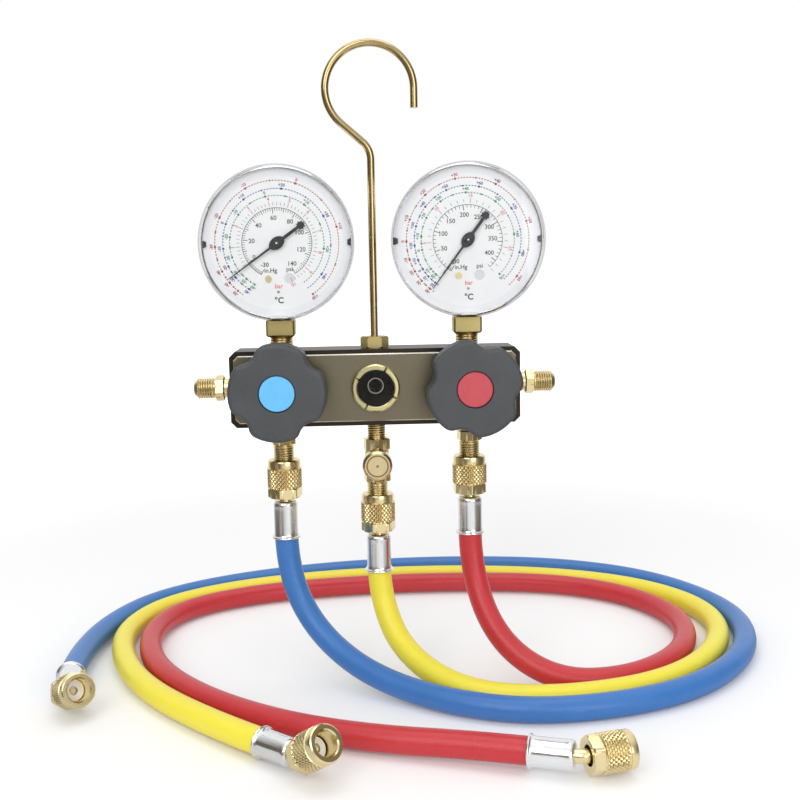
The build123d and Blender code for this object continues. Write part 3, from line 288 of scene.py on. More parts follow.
def shared_group(name, inputs, outputs):
    """An empty node group with named value, colour and vector sockets."""
    group = bpy.data.node_groups.new(name, "ShaderNodeTree")
    for label, kind, default in inputs:
        socket = group.interface.new_socket(name=label, in_out="INPUT", socket_type=f"NodeSocket{kind}")
        if default is not None:
            socket.default_value = default
    for label, kind in outputs:
        group.interface.new_socket(name=label, in_out="OUTPUT", socket_type=f"NodeSocket{kind}")
    return group, group.nodes.new("NodeGroupInput"), group.nodes.new("NodeGroupOutput")


def make_mottle():
    """Cloudy variation: two noises of different size blended as a mask, and the finer one as a height."""
    group, source, sink = shared_group(
        "cloudy_variation",
        [("Vector", "Vector", None), ("Size", "Float", 60.0), ("Contrast", "Float", 1.0)],
        [("Mask", "Float"), ("Height", "Float")])
    place, size = source.outputs["Vector"], source.outputs["Size"]
    broad = grey_noise(group, place, size, detail=4)
    fine = grey_noise(group, place, calc(group, "MULTIPLY", size, 9.0))
    centred = calc(group, "SUBTRACT", mix(group, 0.35, broad, fine, kind="FLOAT"), 0.5)
    spread = calc(group, "MULTIPLY_ADD", centred, source.outputs["Contrast"], 0.5, clamp=True)
    feed(group, spread, sink.inputs["Mask"])
    feed(group, fine, sink.inputs["Height"])
    return group


def make_streaks():
    """Fine lines drawn out along one direction: noise of a stretched place."""
    group, source, sink = shared_group(
        "drawn_lines",
        [("Vector", "Vector", None), ("Stretch", "Vector", (1, 1, 1)), ("Size", "Float", 400.0)],
        [("Mask", "Float"), ("Height", "Float")])
    given = source.outputs
    scaled = add_node(group, "VectorMath", {0: given["Vector"], 1: given["Stretch"]}, operation="MULTIPLY")
    lines = grey_noise(group, scaled.outputs[0], given["Size"])
    feed(group, lines, sink.inputs["Mask"])
    feed(group, lines, sink.inputs["Height"])
    return group


MOTTLE = make_mottle()
STREAKS = make_streaks()


def new_finish(name, colour, roughness=0.5, metallic=0.0):
    """A material with one Principled shader and its plain values."""
    finish = bpy.data.materials.new(name)
    finish.use_nodes = True
    tree = finish.node_tree
    shader = tree.nodes["Principled BSDF"]
    shader.inputs["Base Color"].default_value = (*colour, 1)
    shader.inputs["Roughness"].default_value = roughness
    shader.inputs["Metallic"].default_value = metallic
    return finish, tree, shader


def vary(tree, shader, dark, light, rough, size=60.0, contrast=1.6, bump=0.05, bump_at=0.0002, group=None,
         coordinates="Object", stretch=(1, 1, 1)):
    """Drives colour between dark and light, roughness between two values, and a small bump.

    Returns the colour, for finishes that lay more over it.
    """
    effect = use_group(tree, group or MOTTLE, add_node(tree, "TexCoord").outputs[coordinates])
    effect.inputs["Size"].default_value = size
    if group is STREAKS:
        effect.inputs["Stretch"].default_value = stretch
    else:
        effect.inputs["Contrast"].default_value = contrast
    mask, height = effect.outputs["Mask"], effect.outputs["Height"]
    colour = mix(tree, mask, dark, light)
    feed(tree, colour, shader.inputs["Base Color"])
    feed(tree, remap(tree, mask, 0.0, 1.0, to=rough), shader.inputs["Roughness"])
    relief = add_node(tree, "Bump", {"Strength": bump, "Distance": bump_at, "Height": height})
    feed(tree, relief.outputs[0], shader.inputs["Normal"])
    return colour


def metal_finish(name, dark, light, rough, groove=None, bump=0.012, contrast=1.0, **more):
    """Metal with varied colour and gloss, and a darker colour down in cut threads and knurls: partly dirt and
    partly painted shade.
    """
    finish, tree, shader = new_finish(name, light, metallic=1.0)
    colour = vary(tree, shader, dark, light, rough, bump=bump, contrast=contrast, **more)
    if groove:
        # Darker colour in thread and knurl grooves: partly dirt, partly painted shade.
        cut = add_node(tree, "Attribute", attribute_name="groove").outputs["Fac"]
        feed(tree, mix(tree, cut, colour, groove), shader.inputs["Base Color"])
    return finish


def moulded_finish(name, dark, light, rough, **more):
    """Plastic, rubber, enamel or ink with varied colour and gloss."""
    finish, tree, shader = new_finish(name, light)
    vary(tree, shader, dark, light, rough, **more)
    return finish


def distance_to(tree, middle, mirrored=False):
    """Distance from an axis along Y through (x, z), and the depth along it, in metres. Mirrored
    axes share one finish."""
    place = add_node(tree, "SeparateXYZ", {0: add_node(tree, "TexCoord").outputs["Object"]}).outputs
    across = calc(tree, "ABSOLUTE", place["X"]) if mirrored else place["X"]
    flat = add_node(tree, "CombineXYZ", {"X": calc(tree, "SUBTRACT", across, middle[0] * MM),
                                         "Y": calc(tree, "SUBTRACT", place["Z"], middle[1] * MM)})
    return length_of(tree, flat.outputs[0]), place["Y"]


def band(tree, value, low, high, blur):
    """1 between two values in mm, 0 outside, with soft ends."""
    rise = remap(tree, value, (low - blur) * MM, low * MM, smooth=True)
    fall = remap(tree, value, (high + blur) * MM, high * MM, smooth=True)
    return calc(tree, "MULTIPLY", rise, fall)


def block_finish():
    """Bronze anodised metal: satin pad, a painted highlight along its bevel, near-black sides, painted
    shade darkening the sight hole near-black, and a pale ring on the hole's floor."""
    finish, tree, shader = new_finish("bronze_anodised", (0.2, 0.18, 0.13), metallic=1.0)
    colour = vary(tree, shader, (0.175, 0.150, 0.102), (0.225, 0.199, 0.142), (0.34, 0.44), size=45.0,
                  contrast=1.2, bump=0.04)
    reach, depth = distance_to(tree, (0.0, AXIS_Z))
    behind_pad = band(tree, depth, PAD_Y + PAD_BEVEL + 0.06, 100.0, 0.02)
    colour = mix(tree, behind_pad, colour, (0.042, 0.035, 0.027))
    hole_r, hole_front, hole_back = 9.8, PAD_Y + 3.2, 8.0
    # Painted shade: the inside of the sight hole is darkened near-black.
    hole = calc(tree, "MULTIPLY", band(tree, reach, -5.0, hole_r, 0.1),
                band(tree, depth, hole_front, hole_back, 0.1))
    colour = mix(tree, hole, colour, (0.026, 0.022, 0.017))
    # Painted highlight: a bright line along the pad's bevel.
    bevel_highlight = band(tree, depth, PAD_Y + 0.05, PAD_Y + PAD_BEVEL, 0.02)
    colour = mix(tree, bevel_highlight, colour, (0.85, 0.82, 0.72))
    ring_r, ring_y = (3.85, 4.25), (-5.6, -4.7)
    floor_ring = calc(tree, "MULTIPLY", band(tree, reach, *ring_r, 0.2), band(tree, depth, *ring_y, 0.2))
    colour = mix(tree, floor_ring, colour, (0.50, 0.46, 0.40))
    feed(tree, colour, shader.inputs["Base Color"])
    return finish


def cap_face_finish():
    """Turned brass, with painted shade for a ring line and a centre dimple on its face."""
    finish, tree, shader = new_finish("turned_brass_cap", (0.8, 0.64, 0.36), metallic=1.0)
    colour = vary(tree, shader, (0.66, 0.52, 0.28), (0.84, 0.71, 0.44), (0.20, 0.32), size=120.0,
                  contrast=1.2, bump=0.03)
    reach = distance_to(tree, (0.0, SERVICE_Z))[0]
    # Painted shade: a dark ring line and a dark centre spot where the face has a turned edge and a dimple.
    line = calc(tree, "MAXIMUM", band(tree, reach, 5.1, 5.8, 0.15), band(tree, reach, -1.0, 0.55, 0.3))
    feed(tree, mix(tree, line, colour, (0.30, 0.21, 0.09)), shader.inputs["Base Color"])
    return finish


def dial_finish():
    """White enamel that turns faintly cooler and greyer towards its rim, painted shade near the rim."""
    finish, tree, shader = new_finish("white_dial", (0.90, 0.91, 0.92))
    colour = vary(tree, shader, (0.885, 0.895, 0.905), (0.93, 0.935, 0.94), (0.5, 0.6), size=30.0, bump=0.0)
    reach = distance_to(tree, (GAUGE_X["high"], GAUGE_Z), mirrored=True)[0]
    # Painted shade: greyer from 34.4 mm out to the dial's edge.
    rim = band(tree, reach, 34.4, 60.0, 0.7)
    feed(tree, mix(tree, rim, colour, (0.86, 0.87, 0.90)), shader.inputs["Base Color"])
    return finish


def lens_finish():
    """Clear plastic, greyer where its rounded rim turns down into the skirt: painted shade along the rim."""
    finish = clear_finish("clear_lens", LENS_COLOUR, ior=1.3)
    tree = finish.node_tree
    reach = distance_to(tree, (GAUGE_X["high"], GAUGE_Z), mirrored=True)[0]
    # Painted shade: the rim from 39 mm out turns grey.
    rim = band(tree, reach, 39.0, 60.0, 0.8)
    shader = tree.nodes["Principled BSDF"]
    feed(tree, mix(tree, rim, LENS_COLOUR, (0.68, 0.68, 0.69)), shader.inputs["Base Color"])
    return finish


def clear_finish(name, colour, roughness=0.02, ior=1.49):
    """Clear glass or plastic that lets most lamp light through to what lies behind it."""
    finish, tree, shader = new_finish(name, colour, roughness=roughness)
    shader.inputs["Transmission Weight"].default_value = 1.0
    shader.inputs["IOR"].default_value = ior
    shadow = add_node(tree, "LightPath").outputs["Is Shadow Ray"]
    feed(tree, calc(tree, "MULTIPLY_ADD", shadow, SHADOW_SHARE - 1.0, 1.0), shader.inputs["Alpha"])
    return finish


# Its groove colour darkens cut threads and knurls: partly dirt, partly painted shade.
BRASS = metal_finish("turned_brass", (0.74, 0.61, 0.32), (0.90, 0.78, 0.47), (0.17, 0.28), size=90.0,
                     groove=(0.60, 0.46, 0.21))
# Its near-black groove colour is painted shade down the middle of the sight ring's notches.
PALE_BRASS = metal_finish("pale_brass", (0.60, 0.54, 0.27), (0.76, 0.70, 0.40), (0.18, 0.30), size=90.0,
                          groove=(0.10, 0.08, 0.03))
SATIN_BRASS = metal_finish("satin_brass", (0.46, 0.37, 0.14), (0.61, 0.52, 0.24), (0.32, 0.44), size=120.0)
# Gold tone: partly the rod's own brass colour, partly a painted reflection of yellow surroundings.
ROD_BRASS_AND_REFLECTED_YELLOW = metal_finish("polished_rod", (0.40, 0.30, 0.13), (0.58, 0.46, 0.25), (0.10, 0.20), size=80.0)
ZINC = metal_finish("zinc_plate", (0.70, 0.72, 0.73), (0.92, 0.93, 0.94), (0.12, 0.28), group=STREAKS,
                    coordinates="UV", stretch=(1.0, 0.04, 1.0), size=60.0, bump=0.15)
CASE = metal_finish("bright_case", (0.70, 0.70, 0.70), (0.84, 0.84, 0.83), (0.08, 0.20), size=50.0)
BLOCK = block_finish()
CAP_FACE = cap_face_finish()
KNOB = moulded_finish("slate_knob", (0.046, 0.048, 0.053), (0.070, 0.073, 0.080), (0.42, 0.58), size=70.0,
                      contrast=1.5, bump=0.12)
CAP_FINISH = {
    "low": moulded_finish("blue_cap", (0.10, 0.43, 0.83), (0.15, 0.54, 0.94), (0.40, 0.52), size=150.0,
                          bump=0.1),
    "high": moulded_finish("red_cap", (0.46, 0.045, 0.060), (0.57, 0.075, 0.095), (0.38, 0.5), size=150.0,
                           bump=0.1),
}
HOSE_FINISH = {
    name: moulded_finish(f"{name}_rubber", dark, light, (0.26, 0.42), size=95.0, contrast=1.2, bump=0.55,
                         bump_at=0.0003)
    for name, dark, light in (("blue", (0.032, 0.148, 0.44), (0.045, 0.192, 0.53)),
                              ("yellow", (0.84, 0.71, 0.045), (0.90, 0.80, 0.065)),
                              ("red", (0.48, 0.021, 0.029), (0.59, 0.034, 0.043)))
}
DIAL = dial_finish()
POINTER = moulded_finish("black_pointer", (0.012, 0.012, 0.013), (0.022, 0.022, 0.024), (0.35, 0.45),
                         size=200.0)
WHITE_SEAL = moulded_finish("white_seal", (0.78, 0.77, 0.74), (0.86, 0.85, 0.82), (0.4, 0.55), size=150.0)
GASKET = moulded_finish("white_gasket", (0.90, 0.90, 0.89), (0.96, 0.96, 0.95), (0.3, 0.4), size=150.0)
BLACK_SEAL = moulded_finish("black_seal", (0.015, 0.015, 0.015), (0.03, 0.03, 0.03), (0.5, 0.65), size=150.0)
LENS = lens_finish()
SIGHT = clear_finish("sight_window", (0.93, 0.94, 0.92), ior=1.22)
INK_COLOURS = {
    "black": (0.020, 0.020, 0.022), "grey": (0.24, 0.24, 0.26), "pink": (0.68, 0.12, 0.17),
    "red": (0.38, 0.012, 0.05), "blue": (0.03, 0.055, 0.27), "green": (0.022, 0.24, 0.13),
    "pale": (0.66, 0.66, 0.69),
}
INKS = {name: moulded_finish(f"{name}_ink", colour, tuple(min(1.0, c * 1.15 + 0.01) for c in colour),
                             (0.5, 0.6), size=300.0, bump=0.0)
        for name, colour in INK_COLOURS.items()}


# ---------------------------------------------------------------- surfaces
def wave(x):
    """Triangle wave of period 1: 0 at whole numbers and 1 half way between."""
    return 1 - 2 * np.abs(np.mod(x, 1.0) - 0.5)


def basis(axis, toward=None):
    """Three perpendicular directions whose third is the axis; the first leans towards a given one."""
    z = np.array(axis, float)
    z /= np.linalg.norm(z)
    x = np.array(toward if toward is not None else ((1, 0, 0) if abs(z[0]) < 0.9 else (0, 0, 1)), float)
    x -= z * (x @ z)
    x /= np.linalg.norm(x)
    return x, np.cross(z, x), z


def lathe(profile, origin, axis, around=192, toward=None, turn=0.0, flats=0.0, loop=True):
    """Surface of turn and station about an axis.

    Each station is (radius, height) or (radius, height, kind). A round station keeps its radius;
    a hex station takes the smaller of its radius and the distance to six flats; a thread station
    takes off a cosine of height / pitch - turn; a knurl station takes off the deeper of two triangle
    waves, of lines * turn + height and lines * turn - height. Thread and knurl runs are sampled
    finely, and fade over their first and last half millimetre. A looped profile closes on itself,
    and one that isn't looped is closed by a point at each end.
    """
    theta = np.arange(around) * (math.tau / around)
    rows, cuts = [], []
    for (r0, h0, *_), (r1, h1, *given) in zip(profile, profile[1:] + profile[:1]):
        if not loop and (r1, h1) == profile[0][:2]:
            break
        kind = given[0] if given else "round"
        run = math.hypot(r1 - r0, h1 - h0)
        steps = int(round(run / FINE_STEP[kind])) if kind in FINE_STEP else 1
        shares = np.linspace(0, 1, steps + 1) if kind != "round" else np.array([1.0])
        for s in shares:
            r, h = r0 + (r1 - r0) * s, h0 + (h1 - h0) * s
            ring, cut = np.full(around, r), np.zeros(around)
            fade = np.clip(min(s, 1 - s) * run / FADE_L, 0, 1)
            if kind == "hex":
                ring = np.minimum(ring, flats / 2 / np.cos(np.mod(theta, math.pi / 3) - math.pi / 6))
            elif kind == "thread":
                cut = fade * (0.5 + 0.5 * np.cos(math.tau * h / THREAD_PITCH - theta))
                ring = ring - THREAD_DEPTH * cut
            elif kind == "knurl":
                slope = h * KNURL_LINES / (math.tau * r) * KNURL_LEAN
                line = KNURL_LINES * theta / (math.tau)
                ridge = np.minimum(wave(line + slope), wave(line - slope))
                cut = fade * (1 - np.minimum(ridge * KNURL_WIDEN, 1.0))
                ring = ring - KNURL_DEPTH * cut
            if rows and h == rows[-1][1] and np.allclose(ring, rows[-1][0]):
                continue
            rows.append((ring, h))
            cuts.append(cut)
    radii = np.array([row[0] for row in rows])
    heights = np.array([row[1] for row in rows])
    x, y, z = basis(axis, toward)
    angle = theta + turn
    points = (radii * np.cos(angle))[..., None] * x + (radii * np.sin(angle))[..., None] * y
    points = (points + heights[:, None, None] * z + np.array(origin, float)).reshape(-1, 3)
    count = len(rows)
    ring_of, step_of = np.meshgrid(np.arange(count if loop else count - 1), np.arange(around), indexing="ij")
    here, above = ring_of * around, (ring_of + 1) % count * around
    after = (step_of + 1) % around
    quads = np.stack([here + step_of, here + after, above + after, above + step_of], axis=-1)
    u = np.stack([step_of, step_of + 1, step_of + 1, step_of], axis=-1) / around
    along = np.concatenate([[0], np.cumsum(np.hypot(np.diff(radii[:, 0]), np.diff(heights)))])
    along = np.append(along, along[-1] + 1.0)
    v = np.stack([along[ring_of], along[ring_of], along[ring_of + 1], along[ring_of + 1]], axis=-1) / UV_L
    faces = [quads.reshape(-1, 4)]
    uvs = [np.stack([u.reshape(-1, 4), v.reshape(-1, 4)], axis=-1)]
    if not loop:
        for row, flip in ((0, True), (count - 1, False)):
            centre = len(points)
            points = np.vstack([points, points[row * around:(row + 1) * around].mean(axis=0)])
            a, b = row * around + np.arange(around), row * around + (np.arange(around) + 1) % around
            if flip:
                a, b = b, a
            faces.append(np.stack([a, b, np.full(around, centre)], axis=-1))
            uvs.append(np.zeros((around, 3, 2)))
            cuts.append(np.zeros(1))
    return (*outward(points, faces, uvs), np.concatenate(cuts))


def outward(points, faces, uvs):
    """Turns every face over where the shell's signed volume is negative."""
    volume = 0.0
    for face in faces:
        for i in range(1, face.shape[1] - 1):
            a, b, c = points[face[:, 0]], points[face[:, i]], points[face[:, i + 1]]
            volume += np.einsum("ij,ij->i", a, np.cross(b, c)).sum()
    if volume < 0:
        faces = [face[:, ::-1] for face in faces]
        uvs = [uv[:, ::-1] for uv in uvs]
    return points, faces, uvs


def add_piece(name, shells, finishes, body, replaces=(), smooth=True, indices=None, sharp=32.0):
    """One object from closed shells in mm, with its finishes, its body and the nodes it stands for."""
    points, loops, starts, uvs, slots, grooves = [], [], [], [], [], []
    offset, begin = 0, 0
    for number, (verts, faces, uv, *cuts) in enumerate(shells):
        points.append(verts)
        grooves.append(cuts[0] if cuts else np.zeros(len(verts)))
        for face, corner in zip(faces, uv):
            loops.append((face + offset).reshape(-1))
            starts.append(begin + np.arange(len(face)) * face.shape[1])
            begin += face.size
            uvs.append(np.asarray(corner, float).reshape(-1, 2))
            slots.append(np.full(len(face), indices[number] if indices else 0))
        offset += len(verts)
    points, loops = np.vstack(points) * MM, np.concatenate(loops)
    starts, uvs, slots = np.concatenate(starts), np.vstack(uvs), np.concatenate(slots)
    mesh = bpy.data.meshes.new(name)
    for part, size in ((mesh.vertices, points), (mesh.loops, loops), (mesh.polygons, starts)):
        part.add(len(size))
    mesh.vertices.foreach_set("co", points.astype(np.float32).ravel())
    mesh.loops.foreach_set("vertex_index", loops.astype(np.int32))
    mesh.polygons.foreach_set("loop_start", starts.astype(np.int32))
    mesh.polygons.foreach_set("material_index", slots.astype(np.int32))
    mesh.update(calc_edges=True)
    layer = mesh.uv_layers.new(name="surface")
    layer.data.foreach_set("uv", uvs.astype(np.float32).ravel())
    # Depth of a point in a thread or knurl, which finishes darken: partly dirt, partly painted shade.
    groove_dirt_and_shade = mesh.attributes.new("groove", "FLOAT", "POINT")
    groove_dirt_and_shade.data.foreach_set("value", np.concatenate(grooves).astype(np.float32))
    mesh.polygons.foreach_set("use_smooth", np.full(len(starts), smooth))
    for finish in finishes:
        mesh.materials.append(finish)
    mesh.validate()
    if smooth:
        mesh.set_sharp_from_angle(angle=math.radians(sharp))
    piece = new_object(name, mesh)
    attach(piece, body)
    if replaces:
        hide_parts(*replaces)
    return piece


def prisms(shapes, front, back, centre):
    """Closed flat prisms from (count, corners, 2) outlines about a dial centre, between two depths."""
    shapes = np.asarray(shapes, float)
    count, corners = shapes.shape[:2]
    across, up = shapes[..., 0] + centre[0], shapes[..., 1] + centre[1]
    ends = [np.stack([across, np.full((count, corners), depth), up], axis=-1) for depth in (front, back)]
    points = np.concatenate(ends, axis=1).reshape(-1, 3)
    base = np.arange(count)[:, None] * 2 * corners
    ring = np.arange(corners)
    after = (ring + 1) % corners
    sides = np.stack([ring, after, after + corners, ring + corners], axis=-1)[:, ::-1]
    faces = [base + ring, base + corners + ring[::-1], (base[:, :, None] + sides[None]).reshape(-1, 4)]
    return points, faces, [np.zeros((*face.shape, 2)) for face in faces]


# ---------------------------------------------------------------- hoses and their fittings
def hose_curve(colour):
    """Smooth line of order 3 through the hose's route, as thick as the hose."""
    x = PORT_X[colour]
    route = [(x, 0, z) for z in ROUTE_TOP[colour]]
    route += [(px, py, LIE_Z + lift) for px, py, lift in ROUTES[colour]]
    curve = bpy.data.curves.new(f"{colour}_hose_line", "CURVE")
    curve.dimensions = "3D"
    spline = curve.splines.new("NURBS")
    spline.points.add(len(route) - 1)
    for point, place in zip(spline.points, route):
        point.co = (place[0] * MM, place[1] * MM, place[2] * MM, 1)
    spline.order_u = 3
    spline.use_endpoint_u = True
    curve.resolution_u = 14
    curve.bevel_depth = HOSE_R * MM
    curve.bevel_resolution = 10
    curve.use_fill_caps = True
    curve.materials.append(HOSE_FINISH[colour])
    hose = new_object(f"{colour}_hose_line", curve)
    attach(hose, "manifold")
    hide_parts(f"{colour}_hose")
    return hose, [c * MM for c in route[0]]


def nut_shell(front, back, toward, turn, trim=0.0):
    """Flare nut: threaded bore, plain lip, crossed knurl and a hexagon with turned-off corners."""
    knurl_r, hex_r, flats = 9.25 - trim, 9.3 - trim, 16.4 - trim
    profile = [
        (5.9, 13.5), (5.9, 8.6), (5.65, 8.6), (5.65, 0.7), (6.2, 0.0), (7.9, 0.0),
        (8.45, 0.45), (8.7, 1.2), (8.7, 3.7), (8.35, 3.9), (8.35, 4.3), (knurl_r, 4.6),
        (knurl_r, 15.1, "knurl"), (8.5, 15.5), (hex_r, 15.8, "hex"), (hex_r, 20.0, "hex"), (8.3, 20.7, "hex"),
        (7.3, 20.7), (5.6, 20.3), (4.7, 20.3), (4.7, 13.5),
    ]
    return lathe(profile, front, back, around=312, toward=toward, turn=turn, flats=flats)


def ferrule_shell(closed, mouth_way):
    """Crimped sleeve: rounded closed end, a rolled lip at the hose, and between them a radius that
    eight cosines a turn draw in by up to 1.6 %, fading in and out over 1.5 mm."""
    profile = [
        (3.3, 1.3), (3.3, 0.0), (4.9, 0.0), (5.7, 0.2), (6.3, 0.75), (6.66, 1.8), (6.68, 2.6), (6.62, 3.2),
        (6.6, 5.0), (6.6, 16.5), (6.66, 17.6), (6.75, 18.6), (7.1, 19.2), (7.6, 19.5), (7.75, 19.9),
        (7.5, 20.35), (6.38, 20.4), (6.38, 1.3),
    ]
    crimps, draw, start, end, fade, skin_r = 8, 0.016, 2.6, 18.0, 1.5, 6.5
    points, faces, uvs, _ = lathe(profile, closed, mouth_way, around=128)
    x, y, z = basis(mouth_way)
    end_point = np.array(closed, float)
    local = points - end_point
    height, side, up = local @ z, local @ x, local @ y
    radius, angle = np.hypot(side, up), np.arctan2(up, side)
    worked = np.clip((height - start) / fade, 0, 1) * np.clip((end - height) / fade, 0, 1) * (radius > skin_r)
    shrink = 1 - draw * worked * (0.5 + 0.5 * np.cos(crimps * angle))
    local = height[:, None] * z + (side * shrink)[:, None] * x + (up * shrink)[:, None] * y
    return local + end_point, faces, uvs


def nipple_shell(origin, axis, neck, hex_h, thread, flats, turn):
    """Flare nipple: plain neck, hexagon, 1.27 mm thread and a 45 degree nose round the bore."""
    top = neck + hex_h + thread
    profile = [
        (2.4, top), (2.4, -2.0), (4.95, -2.0), (4.95, neck), (5.4, neck),
        (6.9, neck + 0.5, "hex"), (6.9, neck + hex_h - 0.5, "hex"), (5.7, neck + hex_h, "hex"),
        (4.9, neck + hex_h), (4.9, neck + hex_h + 0.5), (5.55, neck + hex_h + 0.9),
        (5.55, top - 2.0, "thread"), (5.3, top - 1.75), (3.75, top),
    ]
    return lathe(profile, origin, axis, around=144, turn=turn, flats=flats)


def tee_shells():
    """Down leg with two hexagons and a thread, and the front branch under its cap."""
    leg = [
        (2.4, 46.0), (2.4, 1.0), (4.95, 1.0), (4.95, 8.4, "thread"), (4.6, 8.6), (5.8, 8.6),
        (7.5, 9.1, "hex"), (7.5, 14.6, "hex"), (6.3, 15.1, "hex"), (6.6, 15.3), (6.6, 25.8),
        (6.3, 26.0), (7.5, 26.5, "hex"), (7.5, 31.9, "hex"), (6.2, 32.4, "hex"), (4.9, 32.4),
        (4.9, 32.9), (5.55, 33.3), (5.55, 44.0, "thread"), (5.3, 44.3), (3.75, 46.0),
    ]
    branch = [(2.4, 17.7), (2.4, 5.0), (5.55, 5.0), (5.55, 15.7), (3.75, 17.7)]
    return [lathe(leg, (0, 0, BOTTOM_Z), (0, 0, -1), around=144, turn=math.radians(20), flats=13.0),
            lathe(branch, (0, 0, SERVICE_Z), (0, -1, 0), around=96)]


def make_hoses():
    """Hoses, nuts, ferrules and ports."""
    down = (0, 0, -1)
    ferrules = []
    for colour, x in PORT_X.items():
        nut = nut_shell((x, 0, PORT_NUT_Z[colour]), down, (1, 0, 0), math.radians(HEX_TURN[colour]))
        add_piece(f"{colour}_port_nut_knurled", [nut], [BRASS], f"{colour}_coupling",
                  [f"{colour}_port_nut"])
        ferrules.append(ferrule_shell((x, 0, PORT_FERRULE_Z[colour]), down))
    add_piece("port_ferrules_crimped", ferrules, [ZINC], "manifold", ["port_ferrules"])
    for colour in PORT_X:
        front, out = FREE_NUT[colour]
        back = tuple(-c for c in out)
        shell = nut_shell(front, back, (0, 0, 1), math.radians(10), trim=0.35)
        nut = add_piece(f"{colour}_free_nut_knurled", [shell], [BRASS], f"{colour}_end_nut",
                        [f"{colour}_free_nut"])
        hose, exit_place = hose_curve(colour)
        sleeve = add_piece(f"{colour}_free_ferrule_crimped", [ferrule_shell(*FREE_FERRULE[colour])], [ZINC],
                           "manifold", [f"{colour}_free_ferrule"])
    ends = [nipple_shell((side * END_PORT_X, 0, AXIS_Z), (side, 0, 0), neck=4.0, hex_h=5.0, thread=11.0,
                         flats=12.0, turn=math.radians(12)) for side in (-1, 1)]
    add_piece("end_ports_threaded", ends, [BRASS], "manifold", ["end_ports"])
    ports = [nipple_shell((side * HOSE_PORT_X, 0, BOTTOM_Z), down, neck=5.5, hex_h=5.6, thread=15.2,
                          flats=12.0, turn=math.radians(18)) for side in (-1, 1)]
    add_piece("hose_ports_threaded", ports, [BRASS], "manifold", ["hose_ports"])
    add_piece("service_tee_threaded", tee_shells(), [BRASS], "manifold", ["service_tee"])


# ---------------------------------------------------------------- dial printing
def around_dial(degrees, radius):
    """Points at angles, in degrees up from the right, on a circle about the dial centre."""
    angle = np.radians(np.asarray(degrees, float))
    return np.stack([radius * np.cos(angle), radius * np.sin(angle)], axis=-1)


def tick_outlines(degrees, inner, outer, width):
    """Radial bars: the four corners of each, half a width to both sides of its angle."""
    degrees = np.atleast_1d(degrees)
    side = around_dial(degrees + 90, width / 2)
    a, b = around_dial(degrees, inner), around_dial(degrees, outer)
    return np.stack([a - side, b - side, b + side, a + side], axis=1)


def dash_outlines(degrees, radius, length, width):
    """Short bars that lie along a circle."""
    degrees = np.atleast_1d(degrees)
    centre = around_dial(degrees, radius)
    along, out = around_dial(degrees + 90, length / 2), around_dial(degrees, width / 2)
    corners = [centre - out - along, centre + out - along, centre + out + along, centre - out + along]
    return np.stack(corners, axis=1)


def dot_outlines(degrees, radius, size):
    """Twelve-sided dots on a circle."""
    ring = around_dial(np.arange(12) * 30.0, size)
    return around_dial(np.atleast_1d(degrees), radius)[:, None, :] + ring[None]


def label_shell(text, height, place, turn, centre, bold=0.0):
    """Raised lettering: filled outlines of the text, centred on a place and turned about it."""
    capital, thick, off_dial = 0.7, 0.008, 0.016
    curve = bpy.data.curves.new("label", "FONT")
    curve.body = text
    curve.align_x, curve.align_y = "CENTER", "CENTER"
    curve.size = height / capital
    curve.extrude = thick
    curve.offset = bold
    curve.resolution_u = 3
    holder = new_object("label", curve)
    mesh = bpy.data.meshes.new_from_object(holder)
    flat = np.zeros(len(mesh.vertices) * 3, np.float32)
    mesh.vertices.foreach_get("co", flat)
    flat = flat.reshape(-1, 3).astype(float)
    faces = [np.array([list(p.vertices)]) for p in mesh.polygons]
    bpy.data.objects.remove(holder)
    bpy.data.curves.remove(curve)
    bpy.data.meshes.remove(mesh)
    middle = (flat.min(axis=0) + flat.max(axis=0)) / 2
    x, y = flat[:, 0] - middle[0], flat[:, 1] - middle[1]
    c, s = math.cos(turn), math.sin(turn)
    points = np.stack([centre[0] + place[0] + x * c - y * s, DIAL_FACE_Y - off_dial - flat[:, 2],
                       centre[1] + place[1] + x * s + y * c], axis=-1)
    return points, faces, [np.zeros((1, f.shape[1], 2)) for f in faces]


# Angles in degrees up from the right. psi: angle at 0, degrees for one, highest, and the steps of short,
# middle and long marks. vacuum: angle at its end and its marks. bar: degrees for one, highest, marks for
# one, and the step of its numbers. end: where the lines of dashes end. The rings: a number's angle.
DIALS = {
    "low": {
        "psi": (213.0, -1.95, 140, 2, 10, 20), "vacuum": (242.0, 12), "bar": (28.28, 10, 5, 1), "end": -60.0,
        "red": {-50: 229.0, -45: 218.5, -40: 206.0, -30: 182.5, -20: 155.0, -10: 118.7, 0: 71.0, 10: 14.3,
                20: -56.0},
        "blue": {-40: 237.0, -30: 218.0, -20: 204.5, -10: 185.0, 0: 158.6, 10: 126.0, 20: 83.6, 30: 29.0,
                 40: -35.8},
        "green": {-60: 240.0, -50: 228.0, -40: 215.0, -30: 196.4, -20: 172.0, -10: 142.5, 0: 102.5, 10: 53.0,
                  20: -7.5},
    },
    "high": {
        "psi": (232.3, -0.674, 420, 10, 50, 50), "vacuum": (241.0, 3), "bar": (9.775, 29, 1, 5), "end": -51.0,
        "red": {-40: 231.0, -30: 220.4, -20: 209.6, -10: 197.4, 0: 180.5, 10: 160.0, 20: 133.0, 30: 101.3,
                40: 62.5, 50: 16.7, 60: -36.8},
        "blue": {-20: 231.5, -10: 221.6, 0: 211.7, 10: 201.0, 20: 185.0, 30: 164.6, 40: 141.6, 50: 113.0,
                 60: 77.4, 70: 34.6, 80: -14.3},
        "green": {-20: 226.0, -10: 217.0, 0: 191.3, 10: 175.0, 20: 151.4, 30: 124.9, 40: 92.0, 50: 53.2,
                  60: 6.0, 70: -47.3},
    },
}
RINGS = {"green": 24.2, "blue": 27.7, "red": 31.8}


